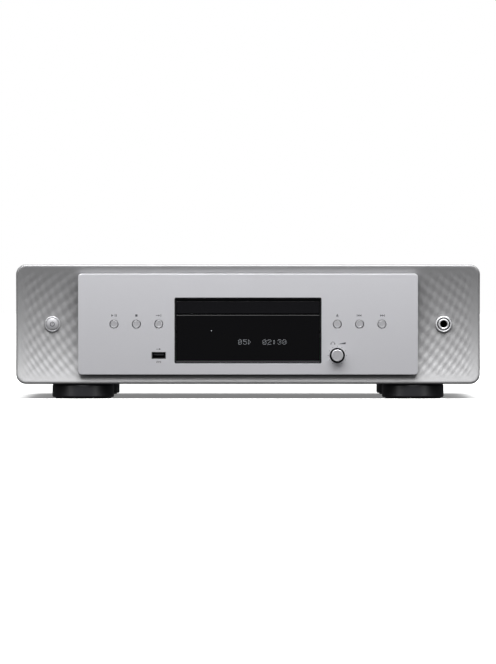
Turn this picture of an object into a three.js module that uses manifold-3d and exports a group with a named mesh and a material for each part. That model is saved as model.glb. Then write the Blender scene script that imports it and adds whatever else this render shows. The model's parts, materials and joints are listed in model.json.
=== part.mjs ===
// CD player: a full-width hi-fi component with a moulded silver fascia, a floating
// aluminium control plate, a motorised disc loader and a folded steel case.
// Millimetres. +X is right seen from the front, the front faces -Y, +Z is up and
// the feet stand on z = 0. The origin is under the middle of the case.
import * as THREE from 'three';
import { mergeVertices } from 'three/addons/utils/BufferGeometryUtils.js';
import Module from 'manifold-3d';

// ---- driving dimensions -------------------------------------------------------

const GAP = 0.3;                    // working clearance between neighbours
const WIDTH = 442;                  // fascia width
const FOOT_HEIGHT = 14;
const FASCIA_HEIGHT = 114;
const MID = FOOT_HEIGHT + FASCIA_HEIGHT / 2;   // height of the fascia's centre line
const CORNER = 9.75;                // radius of the fascia's corners
const EDGE_ROUND = 2.5;             // rounding of the fascia's front edge
const RIM_FRONT = -192.5;           // foremost line of the fascia
const DISH_DEPTH = 8;               // how far the fascia curves back at mid height
const WALL_BACK = -181.5;           // back of the fascia's front wall
const FASCIA_BACK = -168;
const SKIRT = 3;                    // thickness of the fascia's side walls
const RIPPLE_DEPTH = 0.42;          // trough to crest of each family of ripples
const RIPPLE_FADE = [2, 16];        // from the outline: where ripples begin and are full
const RIPPLES = [                   // rings of waves on the right wing, mirrored on the left
  { centre: [-230.9, -390.7], first: 607.3, pitch: 9.894, closing: -0.1515 },
  { centre: [22.8, 155.3], first: 167.2, pitch: 7.053, closing: -0.1386 },
];
const WING_STEPS = 15;              // steps of the moulded surface across a rippled wing
const HALF_HEIGHT_STEPS = 13;

const PLATE = { halfWidth: 161.7, halfHeight: 48, corner: 3.5, front: -196, thickness: 4 };
const PEDESTAL_INSET = 8;           // plate edge to the pad that carries it
const PLATE_BACK = PLATE.front + PLATE.thickness;

const WINDOW = { halfWidth: 70, bottom: 33.6, top: 96.4 };
const APERTURE = { halfWidth: 68.3, bottom: 36.2, top: 93.2, front: -193.4 };
const DOOR_SILL = 80.3;             // line between the display lens and the tray door

const BUTTON_X = [85, 106.25, 127.5];
const BUTTON_RADIUS = 3.75;
const BUTTON_HOLE = 4.2;
const BUTTON_TRAVEL = 1.2;
const END_CONTROL_X = 186.5;        // power button on the left, headphones on the right
const POWER_RING_RADIUS = 7.45;
const POWER_CAP_RADIUS = 5.7;
const JACK_RING_RADIUS = 7.75;
const JACK_BORE = 3.25;
const KNOB = { x: 85, z: 41.3, radius: 5.6, front: -204, hole: 7.3 };
const SHAFT_RADIUS = 2.8;
const USB = { x: -85, z: 41.2, width: 13, height: 6 };

const COVER = { halfWidth: 220, top: 127.5, bottom: 15, sheet: 1.2, bend: 3 };
const CASE_BACK = 189.2;            // outer face of the rear panel
const SHEET = 1.2;                  // steel of the chassis and rear panel
const FLOOR = FOOT_HEIGHT + SHEET;  // inner face of the bottom
const SOCKET_TIP = 204;
const BOARD = 1.6;                  // thickness of a circuit board

const FOOT = { radius: 29.5, x: 157.6, frontY: -160, rearY: 150 };

const SPINDLE_Y = -125;             // centre of a loaded disc
const TRAY = { halfWidth: 64, front: -190.7, back: -18.5, bottom: 84, top: 92 };
const DISC_FLOOR = 87;
const DISC_RECESS = 60.25;
const SMALL_RECESS = 40;
const TRAY_SLOT = 19;
const DECK = { bottom: 74, top: 76.5, halfWidth: 68, front: -180, back: -8 };
const DECK_OPENING = 48;

const MODULE = 1;                   // gear module
const DRIVE_TEETH = 24;
const PINION_TEETH = 10;
const GEAR_ROW_Y = -166;            // the loader's gears and motor stand in one row
const RACK_X = -50;                 // pitch line of the tray's rack
const RACK_BOTTOM = 81;             // clears the sill as the tray runs out
const DRIVE_X = RACK_X + MODULE * DRIVE_TEETH / 2;
const PULLEY_X = DRIVE_X + MODULE * (DRIVE_TEETH + PINION_TEETH) / 2;
const PULLEY_RADIUS = 12.6;
const MOTOR_X = 25;
const MOTOR_PULLEY_RADIUS = 3.5;
const GEAR_BOTTOM = 79.2;
const GEAR_TOP = 83.4;
const PULLEY_BOTTOM = 76.9;
const PULLEY_TOP = 78.9;

const TRAVERSE = { halfWidth: 44, front: -148.5, pivotY: -20, pivotZ: 69, bottom: 68, top: 71 };
const CAM_TRAVEL = 24;
const TILT_DROP = 13.8;             // how far the traverse's front pin drops
const ROD_X = 24;
const ROD_Z = 76;
const SCREW_X = -34;

// ---- solids -------------------------------------------------------------------

const wasm = await Module();
wasm.setup();

function toSolid(geometry) {
  geometry.deleteAttribute('normal');
  geometry.deleteAttribute('uv');
  const merged = mergeVertices(geometry, 1e-4);
  const corners = merged.index.array;
  const triVerts = [];
  for (let i = 0; i < corners.length; i += 3) {
    const [a, b, c] = [corners[i], corners[i + 1], corners[i + 2]];
    if (a !== b && b !== c && c !== a) triVerts.push(a, b, c);
  }
  if (signedVolume(merged.attributes.position, triVerts) < 0) triVerts.reverse();
  return new wasm.Manifold(new wasm.Mesh({
    numProp: 3,
    vertProperties: new Float32Array(merged.attributes.position.array),
    triVerts: new Uint32Array(triVerts),
  }));
}

function signedVolume(position, triVerts) {
  const [a, b, c] = [new THREE.Vector3(), new THREE.Vector3(), new THREE.Vector3()];
  let sum = 0;
  for (let i = 0; i < triVerts.length; i += 3) {
    a.fromBufferAttribute(position, triVerts[i]);
    b.fromBufferAttribute(position, triVerts[i + 1]);
    c.fromBufferAttribute(position, triVerts[i + 2]);
    sum += a.dot(b.cross(c));
  }
  return sum;
}

function toGeometry(solid) {
  const mesh = solid.getMesh();
  const geometry = new THREE.BufferGeometry();
  geometry.setAttribute('position', new THREE.BufferAttribute(mesh.vertProperties, 3));
  geometry.setIndex(new THREE.BufferAttribute(mesh.triVerts, 1));
  geometry.computeVertexNormals();
  return geometry;
}

function join(...solids) {
  return solids.reduce((whole, next) => whole.add(next));
}

function cut(solid, ...tools) {
  return tools.reduce((rest, tool) => rest.subtract(tool), solid);
}

function block([x0, x1], [y0, y1], [z0, z1]) {
  const geometry = new THREE.BoxGeometry(x1 - x0, y1 - y0, z1 - z0);
  geometry.translate((x0 + x1) / 2, (y0 + y1) / 2, (z0 + z1) / 2);
  return toSolid(geometry);
}

// Turns a form made along +Y (lathe, cylinder) so that it runs along another axis.
// centre holds the place on the two other axes, in X, Y, Z order.
function along(geometry, axis, [p, q]) {
  if (axis === 'x') geometry.rotateZ(-Math.PI / 2).translate(0, p, q);
  if (axis === 'y') geometry.translate(p, 0, q);
  if (axis === 'z') geometry.rotateX(Math.PI / 2).translate(p, q, 0);
  return geometry;
}

function rod(axis, radius, [from, to], centre, sides = 16) {
  const geometry = new THREE.CylinderGeometry(radius, radius, to - from, sides);
  geometry.translate(0, (from + to) / 2, 0);
  return toSolid(along(geometry, axis, centre));
}

// profile: [radius, place along the axis] pairs, from axis to axis or closed
function turned(axis, profile, centre, sides = 16) {
  const points = profile.map(([radius, place]) => new THREE.Vector2(radius, place));
  return toSolid(along(new THREE.LatheGeometry(points, sides), axis, centre));
}

function ring(axis, profile, centre, sides = 16) {
  return turned(axis, [...profile, profile[0]], centre, sides);
}

// A flat outline pulled along an axis: its own axes are the other two, in X, Y, Z order.
function prism(shape, axis, [from, to], options = {}) {
  const geometry = new THREE.ExtrudeGeometry(shape, {
    depth: to - from, bevelEnabled: false, curveSegments: 4, ...options,
  });
  geometry.translate(0, 0, from);
  const [u, v, w] = [new THREE.Vector3(), new THREE.Vector3(), new THREE.Vector3()];
  const places = { x: [1, 2, 0], y: [0, 2, 1], z: [0, 1, 2] }[axis];
  [u, v, w].forEach((direction, i) => direction.setComponent(places[i], 1));
  return toSolid(geometry.applyMatrix4(new THREE.Matrix4().makeBasis(u, v, w)));
}

// Options that chamfer both rims of a prism inside its outline.
function chamfered(size) {
  return { bevelEnabled: true, bevelThickness: size, bevelSize: size, bevelOffset: -size, bevelSegments: 1 };
}

function outline(points) {
  return new THREE.Shape(points.map(([u, v]) => new THREE.Vector2(u, v)));
}

function roundedRect([u0, u1], [v0, v1], radius) {
  const shape = new THREE.Shape();
  shape.moveTo(u0 + radius, v0);
  shape.lineTo(u1 - radius, v0);
  shape.absarc(u1 - radius, v0 + radius, radius, -Math.PI / 2, 0);
  shape.lineTo(u1, v1 - radius);
  shape.absarc(u1 - radius, v1 - radius, radius, 0, Math.PI / 2);
  shape.lineTo(u0 + radius, v1);
  shape.absarc(u0 + radius, v1 - radius, radius, Math.PI / 2, Math.PI);
  shape.lineTo(u0, v0 + radius);
  shape.absarc(u0 + radius, v0 + radius, radius, Math.PI, 3 * Math.PI / 2);
  return shape;
}

const span = (middle, half) => [middle - half, middle + half];
const mirroredSpan = (side, inner, outer) => (side > 0 ? [inner, outer] : [-outer, -inner]);

// ---- materials ----------------------------------------------------------------

const finish = (color, roughness, metalness) => new THREE.MeshStandardMaterial({ color, roughness, metalness });
const SILVER_PAINT = finish(0xb9bbbd, 0.45, 0.4);
const SATIN_ALUMINIUM = finish(0xc4c4c9, 0.4, 0.9);
const GLOSS_BLACK = finish(0x16161a, 0.15, 0);
const SMOKED_LENS = finish(0x0e0e12, 0.05, 0);
const MATTE_BLACK = finish(0x1c1c1e, 0.6, 0);
const COATED_STEEL = finish(0xa9abae, 0.5, 0.5);
const ZINC_STEEL = finish(0xb4b7b8, 0.35, 0.9);
const BRIGHT_METAL = finish(0xd8d8d8, 0.15, 1);
const GOLD_PLATE = finish(0xd6ab4a, 0.25, 1);
const BOARD_GREEN = finish(0x1d5a38, 0.5, 0);
const WHITE_PLASTIC = finish(0xe6e4dc, 0.45, 0);
const RUBBER = finish(0x202020, 0.8, 0);
const TAPE_YELLOW = finish(0xc9a338, 0.5, 0);

// ---- front --------------------------------------------------------------------

// How far a point lies inside the fascia's rounded outline.
function insetFromOutline(x, z) {
  const u = Math.abs(x) - (WIDTH / 2 - CORNER);
  const v = Math.abs(z - MID) - (FASCIA_HEIGHT / 2 - CORNER);
  const outside = Math.hypot(Math.max(u, 0), Math.max(v, 0));
  return CORNER - outside - Math.min(Math.max(u, v), 0);
}

// Two families of curved ripples cross on each wing, like waves meeting on water. The pitch
// of a family closes up from ring to ring, so the number of a ring solves a quadratic.
function ripple(x, z) {
  const share = THREE.MathUtils.smoothstep(insetFromOutline(x, z), ...RIPPLE_FADE);
  const waves = RIPPLES.map(({ centre, first, pitch, closing }) => {
    const distance = Math.hypot(Math.abs(x) - centre[0], z - centre[1]) - first;
    const count = (Math.sqrt(pitch * pitch + 4 * closing * distance) - pitch) / (2 * closing);
    return Math.cos(2 * Math.PI * count);
  });
  return RIPPLE_DEPTH / 2 * share * (waves[0] + waves[1]);
}

// The moulded front: dished from top to bottom, with rounded edges and rippled wings.
function fasciaFront(x, z) {
  const height = (z - MID) / (FASCIA_HEIGHT / 2);
  const dish = RIM_FRONT + DISH_DEPTH * (1 - height * height);
  const short = EDGE_ROUND - Math.min(Math.max(insetFromOutline(x, z), 0), EDGE_ROUND);
  const fall = EDGE_ROUND - Math.sqrt(EDGE_ROUND * EDGE_ROUND - short * short);
  const onWing = Math.abs(x) > PLATE.halfWidth - PEDESTAL_INSET / 2;
  return dish + fall - (onWing ? ripple(x, z) : 0);
}

function evenSteps(from, to, steps) {
  return Array.from({ length: steps }, (_, i) => from + (to - from) * i / steps);
}

// Lines of the cutting grid, from the middle out: close together over the rounded edge.
function gridLines(half, inner) {
  const edge = [CORNER, EDGE_ROUND, 0.7, 0, -2].map((inset) => half - inset);
  const side = [...inner.filter((place) => place > 0), ...edge];
  const middle = inner.includes(0) ? [0] : [];
  return [...side.map((place) => -place).reverse(), ...middle, ...side];
}

// Everything in front of the moulded surface, as one block to cut away.
function fasciaFrontCutter() {
  const wing = evenSteps(PLATE.halfWidth - PEDESTAL_INSET / 2, WIDTH / 2 - CORNER, WING_STEPS);
  const xs = gridLines(WIDTH / 2, wing);
  const zs = gridLines(FASCIA_HEIGHT / 2, evenSteps(0, FASCIA_HEIGHT / 2 - CORNER, HALF_HEIGHT_STEPS))
    .map((place) => place + MID);
  const geometry = new THREE.BoxGeometry(1, 1, 1, xs.length - 1, 1, zs.length - 1);
  const position = geometry.attributes.position;
  for (let i = 0; i < position.count; i += 1) {
    const x = xs[Math.round((position.getX(i) + 0.5) * (xs.length - 1))];
    const z = zs[Math.round((position.getZ(i) + 0.5) * (zs.length - 1))];
    position.setXYZ(i, x, position.getY(i) < 0 ? KNOB.front : fasciaFront(x, z), z);
  }
  return toSolid(geometry);
}

function frontFascia() {
  const half = WIDTH / 2;
  const body = prism(
    roundedRect([-half, half], span(MID, FASCIA_HEIGHT / 2), CORNER), 'y', [RIM_FRONT, FASCIA_BACK]);
  const cavity = prism(
    roundedRect(span(0, half - SKIRT), span(MID, FASCIA_HEIGHT / 2 - SKIRT), CORNER - SKIRT),
    'y', [WALL_BACK, FASCIA_BACK + 1]);
  const pedestal = block(
    span(0, PLATE.halfWidth - PEDESTAL_INSET), [PLATE_BACK + GAP, WALL_BACK - 1],
    span(MID, PLATE.halfHeight - PEDESTAL_INSET));
  const posts = [-1, 1].flatMap((side) => [30, 112].map((z) =>
    rod('y', 4, [WALL_BACK - 1, FASCIA_BACK - 1], [side * 205, z], 12)));
  const shell = join(cut(body, fasciaFrontCutter(), cavity), pedestal, ...posts);
  const through = [RIM_FRONT - 4, WALL_BACK + 2];
  const openings = [
    block(span(0, APERTURE.halfWidth + 3), through, [WINDOW.bottom - 1.3, WINDOW.top + 1.3]),
    ...[-1, 1].flatMap((side) => BUTTON_X.map((x) => rod('y', BUTTON_HOLE, through, [side * x, MID], 12))),
    rod('y', KNOB.hole + 0.2, through, [KNOB.x, KNOB.z]),
    block(span(USB.x, USB.width / 2 + 0.6), through, span(USB.z, USB.height / 2 + 0.6)),
    rod('y', POWER_RING_RADIUS + GAP, through, [-END_CONTROL_X, MID]),
    rod('y', JACK_RING_RADIUS + GAP, through, [END_CONTROL_X, MID]),
  ];
  return cut(shell, ...openings);
}

function frontPlate() {
  const chamfer = 0.4;
  const plate = prism(
    roundedRect(span(0, PLATE.halfWidth), span(MID, PLATE.halfHeight), PLATE.corner), 'y',
    [PLATE.front + chamfer, PLATE_BACK - chamfer],
    chamfered(chamfer));
  const through = [PLATE.front - 1, PLATE_BACK + 1];
  return cut(
    plate,
    prism(roundedRect(span(0, WINDOW.halfWidth), [WINDOW.bottom, WINDOW.top], 1.5), 'y', through,
      { curveSegments: 3 }),
    ...[-1, 1].flatMap((side) => BUTTON_X.map((x) => rod('y', BUTTON_HOLE, through, [side * x, MID], 12))),
    rod('y', KNOB.hole, through, [KNOB.x, KNOB.z], 20),
    block(span(USB.x, USB.width / 2 + GAP), through, span(USB.z, USB.height / 2 + GAP)));
}

// Black frame of the window: a sloping reveal down to the lens and the tray door.
function windowBezel() {
  const front = PLATE.front + GAP;
  const back = -183;
  const neck = prism(
    roundedRect(span(0, WINDOW.halfWidth - GAP), [WINDOW.bottom + GAP, WINDOW.top - GAP], 1.2), 'y',
    [front, PLATE_BACK + 1], { curveSegments: 3 });
  const flange = block(
    span(0, APERTURE.halfWidth + 2.7), [PLATE_BACK + GAP, back], [WINDOW.bottom - 1, WINDOW.top + 1]);
  const reveal = new THREE.BoxGeometry(1, 1, 1);
  const lip = 0.8;
  const position = reveal.attributes.position;
  for (let i = 0; i < position.count; i += 1) {
    const outer = position.getY(i) < 0;
    const halfWidth = outer ? WINDOW.halfWidth - lip : APERTURE.halfWidth;
    const bottom = outer ? WINDOW.bottom + lip : APERTURE.bottom;
    const top = outer ? WINDOW.top - lip : APERTURE.top;
    position.setXYZ(i, Math.sign(position.getX(i)) * halfWidth,
      outer ? front - 0.01 : APERTURE.front, position.getZ(i) < 0 ? bottom : top);
  }
  const aperture = block(
    span(0, APERTURE.halfWidth), [APERTURE.front - 0.5, back + 1], [APERTURE.bottom, APERTURE.top]);
  const bar = block(span(0, APERTURE.halfWidth + 1), [-191.2, -187], span(DOOR_SILL, 0.35));
  return join(cut(join(neck, flange), toSolid(reveal), aperture), bar);
}

function displayLens() {
  return block(
    span(0, APERTURE.halfWidth - GAP), [APERTURE.front, -191.5],
    [APERTURE.bottom + GAP, DOOR_SILL - 0.65]);
}

function displayModule() {
  const board = block(span(0, 60), [-186.5, -184.9], [40, 76]);
  const glass = block(span(0, 54), [-190.5, -186.5 + 0.1], [43, 73]);
  const connector = block(span(0, 12), [-185, -180], [44, 50]);
  return join(board, glass, connector);
}

function trayDoor() {
  const chamfer = 0.3;
  return prism(
    roundedRect(span(0, APERTURE.halfWidth - GAP), [DOOR_SILL + 0.65, APERTURE.top - GAP], 0.6), 'y',
    [-193.8 + chamfer, TRAY.front - GAP - chamfer],
    { curveSegments: 2, ...chamfered(chamfer) });
}

// A round push button: dished cap, guide, retaining flange and the stem that works the switch.
function pushButton(x) {
  const cap = PLATE.front - 0.2;
  const flange = WALL_BACK + 0.4;
  return turned('y', [
    [0, cap + 0.15], [2.5, cap], [3.5, cap], [BUTTON_RADIUS, cap + 0.25], [BUTTON_RADIUS, flange],
    [5.8, flange], [5.8, flange + 1.2], [1.6, flange + 1.2], [1.6, -176.9], [0, -176.9],
  ], [x, MID], 10);
}

function powerButton() {
  const cap = -187;
  return turned('y', [
    [0, cap], [5.2, cap], [POWER_CAP_RADIUS, cap + 0.5], [POWER_CAP_RADIUS, -178.9],
    [7, -178.9], [7, -177.7], [1.6, -177.7], [1.6, -176.9], [0, -176.9],
  ], [-END_CONTROL_X, MID], 14);
}

function powerButtonRing() {
  const inner = POWER_CAP_RADIUS + GAP;
  return ring('y', [
    [inner, -185.6], [inner + 0.4, -186.2], [POWER_RING_RADIUS - 0.5, -186.2], [POWER_RING_RADIUS, -185.6],
    [POWER_RING_RADIUS, WALL_BACK + GAP], [9.5, WALL_BACK + GAP], [9.5, WALL_BACK + 1.5],
    [inner, WALL_BACK + 1.5],
  ], [-END_CONTROL_X, MID], 14);
}

function levelKnob() {
  return turned('y', [
    [0, KNOB.front], [4.9, KNOB.front], [KNOB.radius - 0.15, KNOB.front + 0.6], [KNOB.radius, -197],
    [KNOB.radius, -189.5], [SHAFT_RADIUS + GAP, -189.5], [SHAFT_RADIUS + GAP, -200.3], [0, -200.3],
  ], [KNOB.x, KNOB.z], 16);
}

function levelShaft() {
  return rod('y', SHAFT_RADIUS, [-200, -174.4], [KNOB.x, KNOB.z], 12);
}

function levelPotentiometer() {
  const body = block(span(KNOB.x, 9), [-180.5, -175], span(KNOB.z, 8));
  const bush = rod('y', 4.6, [-188.5, -180], [KNOB.x, KNOB.z], 12);
  return cut(join(body, bush), rod('y', SHAFT_RADIUS + GAP, [-190, -174], [KNOB.x, KNOB.z], 12));
}

function usbSocket() {
  const shell = block(span(USB.x, USB.width / 2), [-194.5, -176], span(USB.z, USB.height / 2));
  const wall = 0.45;
  const hollow = block(span(USB.x, USB.width / 2 - wall), [-196, -178], span(USB.z, USB.height / 2 - wall));
  const tongue = block(span(USB.x, 5), [-193, -177.5], [USB.z + 0.3, USB.z + 2]);
  return join(cut(shell, hollow), tongue);
}

function headphoneSocket() {
  const centre = [END_CONTROL_X, MID];
  const trim = turned('y', [
    [0, -186], [4.4, -186], [4.9, -186.8], [5.6, -186], [6.6, -185.7], [JACK_RING_RADIUS - 0.4, -186.4],
    [JACK_RING_RADIUS, -186], [JACK_RING_RADIUS, -176], [0, -176],
  ], centre, 16);
  const body = block(span(END_CONTROL_X, 8.5), [WALL_BACK + GAP, -150], span(MID, 9));
  const pins = [-6, 0, 6].map((x) => block(span(END_CONTROL_X + x, 0.6), [-156, -154.5], [MID - 13, MID - 8]));
  const bore = rod('y', JACK_BORE, [-190, -152], centre, 12);
  return cut(join(trim, body, ...pins), bore);
}

// One board behind the fascia with a tactile switch for every button.
function frontBoard() {
  const front = -173.8;
  const board = block([-199, 160], [front, front + BOARD], [30, 112]);
  const loaderGap = block(span(0, 76), [front - 1, front + 3], [58, 113]);
  const plunger = -176.9 + BUTTON_TRAVEL + GAP;
  const switchAt = (x) => join(
    block(span(x, 3), [front - 1.2, front + 0.1], span(MID, 3)),
    rod('y', 1.4, [plunger, front], [x, MID], 6));
  const places = [...BUTTON_X, ...BUTTON_X.map((x) => -x), -END_CONTROL_X];
  return join(cut(board, loaderGap), ...places.map(switchAt));
}

// ---- case ---------------------------------------------------------------------

function topCover() {
  const { halfWidth, top, bottom, sheet, bend } = COVER;
  const shape = new THREE.Shape();
  shape.moveTo(halfWidth, bottom);
  shape.lineTo(halfWidth, top - bend);
  shape.absarc(halfWidth - bend, top - bend, bend, 0, Math.PI / 2);
  shape.lineTo(-halfWidth + bend, top);
  shape.absarc(-halfWidth + bend, top - bend, bend, Math.PI / 2, Math.PI);
  shape.lineTo(-halfWidth, bottom);
  shape.lineTo(-halfWidth + sheet, bottom);
  shape.lineTo(-halfWidth + sheet, top - bend);
  shape.absarc(-halfWidth + bend, top - bend, bend - sheet, Math.PI, Math.PI / 2, true);
  shape.lineTo(halfWidth - bend, top - sheet);
  shape.absarc(halfWidth - bend, top - bend, bend - sheet, Math.PI / 2, 0, true);
  shape.lineTo(halfWidth - sheet, bottom);
  return prism(shape, 'y', [FASCIA_BACK + GAP, CASE_BACK + 0.8], { curveSegments: 5 });
}

function bottomChassis() {
  const half = COVER.halfWidth - COVER.sheet - 0.6;
  const front = FASCIA_BACK + 0.6;
  const back = CASE_BACK - SHEET - GAP;
  const folded = prism(outline([
    [front, FOOT_HEIGHT], [back, FOOT_HEIGHT], [back, FLOOR], [front + SHEET, FLOOR],
    [front + SHEET, 118], [front, 118],
  ]), 'x', [-half, half]);
  const flangeHeight = [FOOT_HEIGHT + 0.5, FOOT_HEIGHT + 13];
  const flanges = [-1, 1].map((side) => block(
    mirroredSpan(side, half - SHEET, half - 0.1), [front + 0.5, back - 0.5], flangeHeight));
  const across = [front - 1, front + 2];
  const windows = [
    block(span(0, 78), across, [57, 119]),
    block(span(END_CONTROL_X, 11), across, span(MID, 15)),
  ];
  const vents = [];
  for (let row = 0; row < 2; row += 1) {
    for (let i = 0; i < 7; i += 1) {
      const x = -180 + i * 9;
      const y = -30 + row * 110;
      vents.push(block(span(x, 1.75), span(y, 17), [FOOT_HEIGHT - 1, FOOT_HEIGHT + 3]));
    }
  }
  return cut(join(folded, ...flanges), ...windows, ...vents);
}

const INLET = { x: -182, z: 46 };
const ANALOG_X = [150, 172];
const COAX_X = 112;
const OPTICAL_X = [92, 74];
const REMOTE_X = [40, 26];
const SWITCH_X = 8;
const SOCKET_Z = 52;

function rearPanel() {
  const half = COVER.halfWidth - COVER.sheet - 0.6;
  const through = [CASE_BACK - 4, CASE_BACK + 2];
  const top = COVER.top - COVER.sheet - 0.5;
  const panel = block([-half, half], [CASE_BACK - SHEET, CASE_BACK], [FOOT_HEIGHT + 1.6, top]);
  const holes = [
    block(span(INLET.x, 14), through, span(INLET.z, 10)),
    ...[...ANALOG_X, COAX_X].map((x) => rod('y', 5, through, [x, SOCKET_Z], 12)),
    ...OPTICAL_X.map((x) => block(span(x, 5.2), through, span(SOCKET_Z, 5.2))),
    ...REMOTE_X.map((x) => rod('y', 4, through, [x, SOCKET_Z], 12)),
    block(span(SWITCH_X, 5), through, span(SOCKET_Z, 2.2)),
  ];
  const slots = Array.from({ length: 7 }, (_, i) => block(span(-110 + i * 9, 1.75), through, [70, 100]));
  return cut(panel, ...holes, ...slots);
}

function foot(x, y) {
  const { radius } = FOOT;
  const top = FOOT_HEIGHT - GAP;
  return turned('z', [
    [0, 7], [7, 7], [7, 0], [radius - 2.4, 0], [radius, 2.2], [radius, top - 1.1], [radius - 1.1, top],
    [0, top],
  ], [x, y], 20);
}

function mainsInlet() {
  const back = CASE_BACK + GAP;
  const flange = block(span(INLET.x, 17), [back, back + 2.2], span(INLET.z, 12.5));
  const body = block(span(INLET.x, 13.7), [168, back + 1], span(INLET.z, 9.7));
  const recessOutline = [[-12, -8], [12, -8], [12, 4], [8, 8], [-8, 8], [-12, 4]];
  const recess = prism(
    outline(recessOutline.map(([u, v]) => [INLET.x + u, INLET.z + v])), 'y', [174, back + 3]);
  const pinPlaces = [[-7, -1.2], [7, -1.2], [0, 2.8]];
  const pins = pinPlaces.map(([u, v]) => block(span(INLET.x + u, 1), [173, 188], span(INLET.z + v, 2)));
  const tabs = pinPlaces.map(([u, v]) => block(span(INLET.x + u, 0.4), [160, 169], span(INLET.z + v, 3)));
  return join(cut(join(flange, body), recess), ...pins, ...tabs);
}

// A phono socket: nut, ridged sleeve and centre hole.
function phonoBarrel(x) {
  const back = CASE_BACK + GAP;
  return turned('y', [
    [0, 180], [4.6, 180], [4.6, back], [6.2, back], [6.2, back + 1.6], [4.15, back + 1.6],
    [4.15, SOCKET_TIP], [1.7, SOCKET_TIP], [1.7, back + 2], [0, back + 2],
  ], [x, SOCKET_Z], 10);
}

function analogOutSockets() {
  const body = block([ANALOG_X[0] - 9, ANALOG_X[1] + 9], [172, CASE_BACK - SHEET - GAP], span(SOCKET_Z, 9));
  return join(body, ...ANALOG_X.map(phonoBarrel));
}

function digitalSockets() {
  const back = CASE_BACK + GAP;
  const body = block([OPTICAL_X[1] - 8, COAX_X + 9], [174, CASE_BACK - SHEET - GAP], span(SOCKET_Z, 8));
  const windows = OPTICAL_X.map((x) => cut(
    block(span(x, 4.8), [180, back + 0.8], span(SOCKET_Z, 4.8)),
    block(span(x, 3.2), [back - 2, back + 2], span(SOCKET_Z, 3.2))));
  return join(body, phonoBarrel(COAX_X), ...windows);
}

function remoteSockets() {
  const body = block([REMOTE_X[1] - 6, REMOTE_X[0] + 6], [176, CASE_BACK - SHEET - GAP], span(SOCKET_Z, 6));
  const rings = REMOTE_X.map((x) => rod('y', 3.7, [180, CASE_BACK + 1.2], [x, SOCKET_Z], 10));
  const bores = REMOTE_X.map((x) => rod('y', 1.8, [178, CASE_BACK + 3], [x, SOCKET_Z], 8));
  return cut(join(body, ...rings), ...bores);
}

function remoteSwitch() {
  const rest = SWITCH_X - 2;
  const base = block(span(rest, 2.4), [CASE_BACK - SHEET - 2, CASE_BACK + 2.4], span(SOCKET_Z, 1.8));
  const ridges = [-1.2, 0, 1.2].map((x) =>
    block(span(rest + x, 0.3), [CASE_BACK + 2, CASE_BACK + 2.8], span(SOCKET_Z, 1.8)));
  return join(base, ...ridges);
}

// ---- electronics --------------------------------------------------------------

const BOARD_Z = FLOOR + 7;
const TRANSFORMER = { x: -150, y: 25, radius: 46 };

function transformer() {
  const { x, y, radius } = TRANSFORMER;
  return ring('z', [
    [13, 24], [17, 20], [radius - 7, 20], [radius - 1, 26], [radius, 39],
    [radius - 1, 52], [radius - 7, 58], [17, 58], [13, 54],
  ], [x, y], 14);
}

// Rubber pad, centre bolt and dished washer that hold the ring-shaped transformer down.
function transformerClamp() {
  const { x, y } = TRANSFORMER;
  return turned('z', [
    [0, FLOOR + 0.3], [38, FLOOR + 0.3], [38, 19.5], [4, 19.5], [4, 58.4], [28, 58.4], [30, 60],
    [6, 62.5], [6, 66], [0, 66],
  ], [x, y], 10);
}

function standoffs(places) {
  return places.map(([x, y]) => rod('z', 3, [FLOOR + GAP, BOARD_Z + 0.2], [x, y], 4));
}

function powerBoard() {
  const board = block([-212, -96], [84, 165], [BOARD_Z, BOARD_Z + BOARD]);
  const top = BOARD_Z + BOARD - 0.1;
  const sinkBase = block([-140, -100], [92, 95], [top, top + 34]);
  const fins = Array.from({ length: 7 }, (_, i) =>
    block([-139 + i * 6, -137 + i * 6], [94.5, 106], [top, top + 34]));
  const relay = block([-206, -188], [140, 156], [top, top + 15]);
  const choke = block([-180, -160], [140, 156], [top, top + 18]);
  return join(board, sinkBase, ...fins, relay, choke,
    ...standoffs([[-206, 92], [-206, 160], [-102, 110], [-102, 160]]));
}

function reservoirCapacitor(x) {
  const bottom = BOARD_Z + BOARD + GAP;
  return turned('z', [
    [0, bottom], [11, bottom], [11, bottom + 2], [10.5, bottom + 3], [11, bottom + 4],
    [11, bottom + 29], [10, bottom + 30], [0, bottom + 30],
  ], [x, 118], 10);
}

function audioBoard() {
  const board = block([92, 212], [-120, 165], [BOARD_Z, BOARD_Z + BOARD]);
  const top = BOARD_Z + BOARD - 0.1;
  const pairs = [];
  for (let i = 0; i < 4; i += 1) {
    for (const x of [140, 180]) pairs.push(rod('z', 5, [top, top + 14], [x, 20 + i * 30], 6));
  }
  const shield = block([112, 196], [-20, 2], [top, top + 12]);
  const converter = block([120, 150], [-90, -60], [top, top + 3]);
  const processor = block([160, 182], [-86, -64], [top, top + 2.4]);
  return join(board, shield, converter, processor, ...pairs,
    ...standoffs([[98, -112], [206, -112], [98, 20], [206, 20], [98, 158], [206, 158]]));
}

// ---- disc loader --------------------------------------------------------------

// Outline of a spur gear: straight-flanked teeth with a little backlash.
function gearOutline(teeth, turn) {
  const pitch = MODULE * teeth / 2;
  const shape = [];
  for (let i = 0; i < teeth; i += 1) {
    const middle = turn + 2 * Math.PI * i / teeth;
    const flank = [[pitch - 1.15, -0.86], [pitch + 0.85, -0.26], [pitch + 0.85, 0.26], [pitch - 1.15, 0.86]];
    for (const [radius, halfWidth] of flank) {
      const angle = middle + halfWidth / radius;
      shape.push([radius * Math.cos(angle), radius * Math.sin(angle)]);
    }
  }
  return shape;
}

function gearWheel(x, teeth, turn) {
  const points = gearOutline(teeth, turn).map(([u, v]) => [x + u, GEAR_ROW_Y + v]);
  return prism(outline(points), 'z', [GEAR_BOTTOM, GEAR_TOP]);
}

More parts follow.
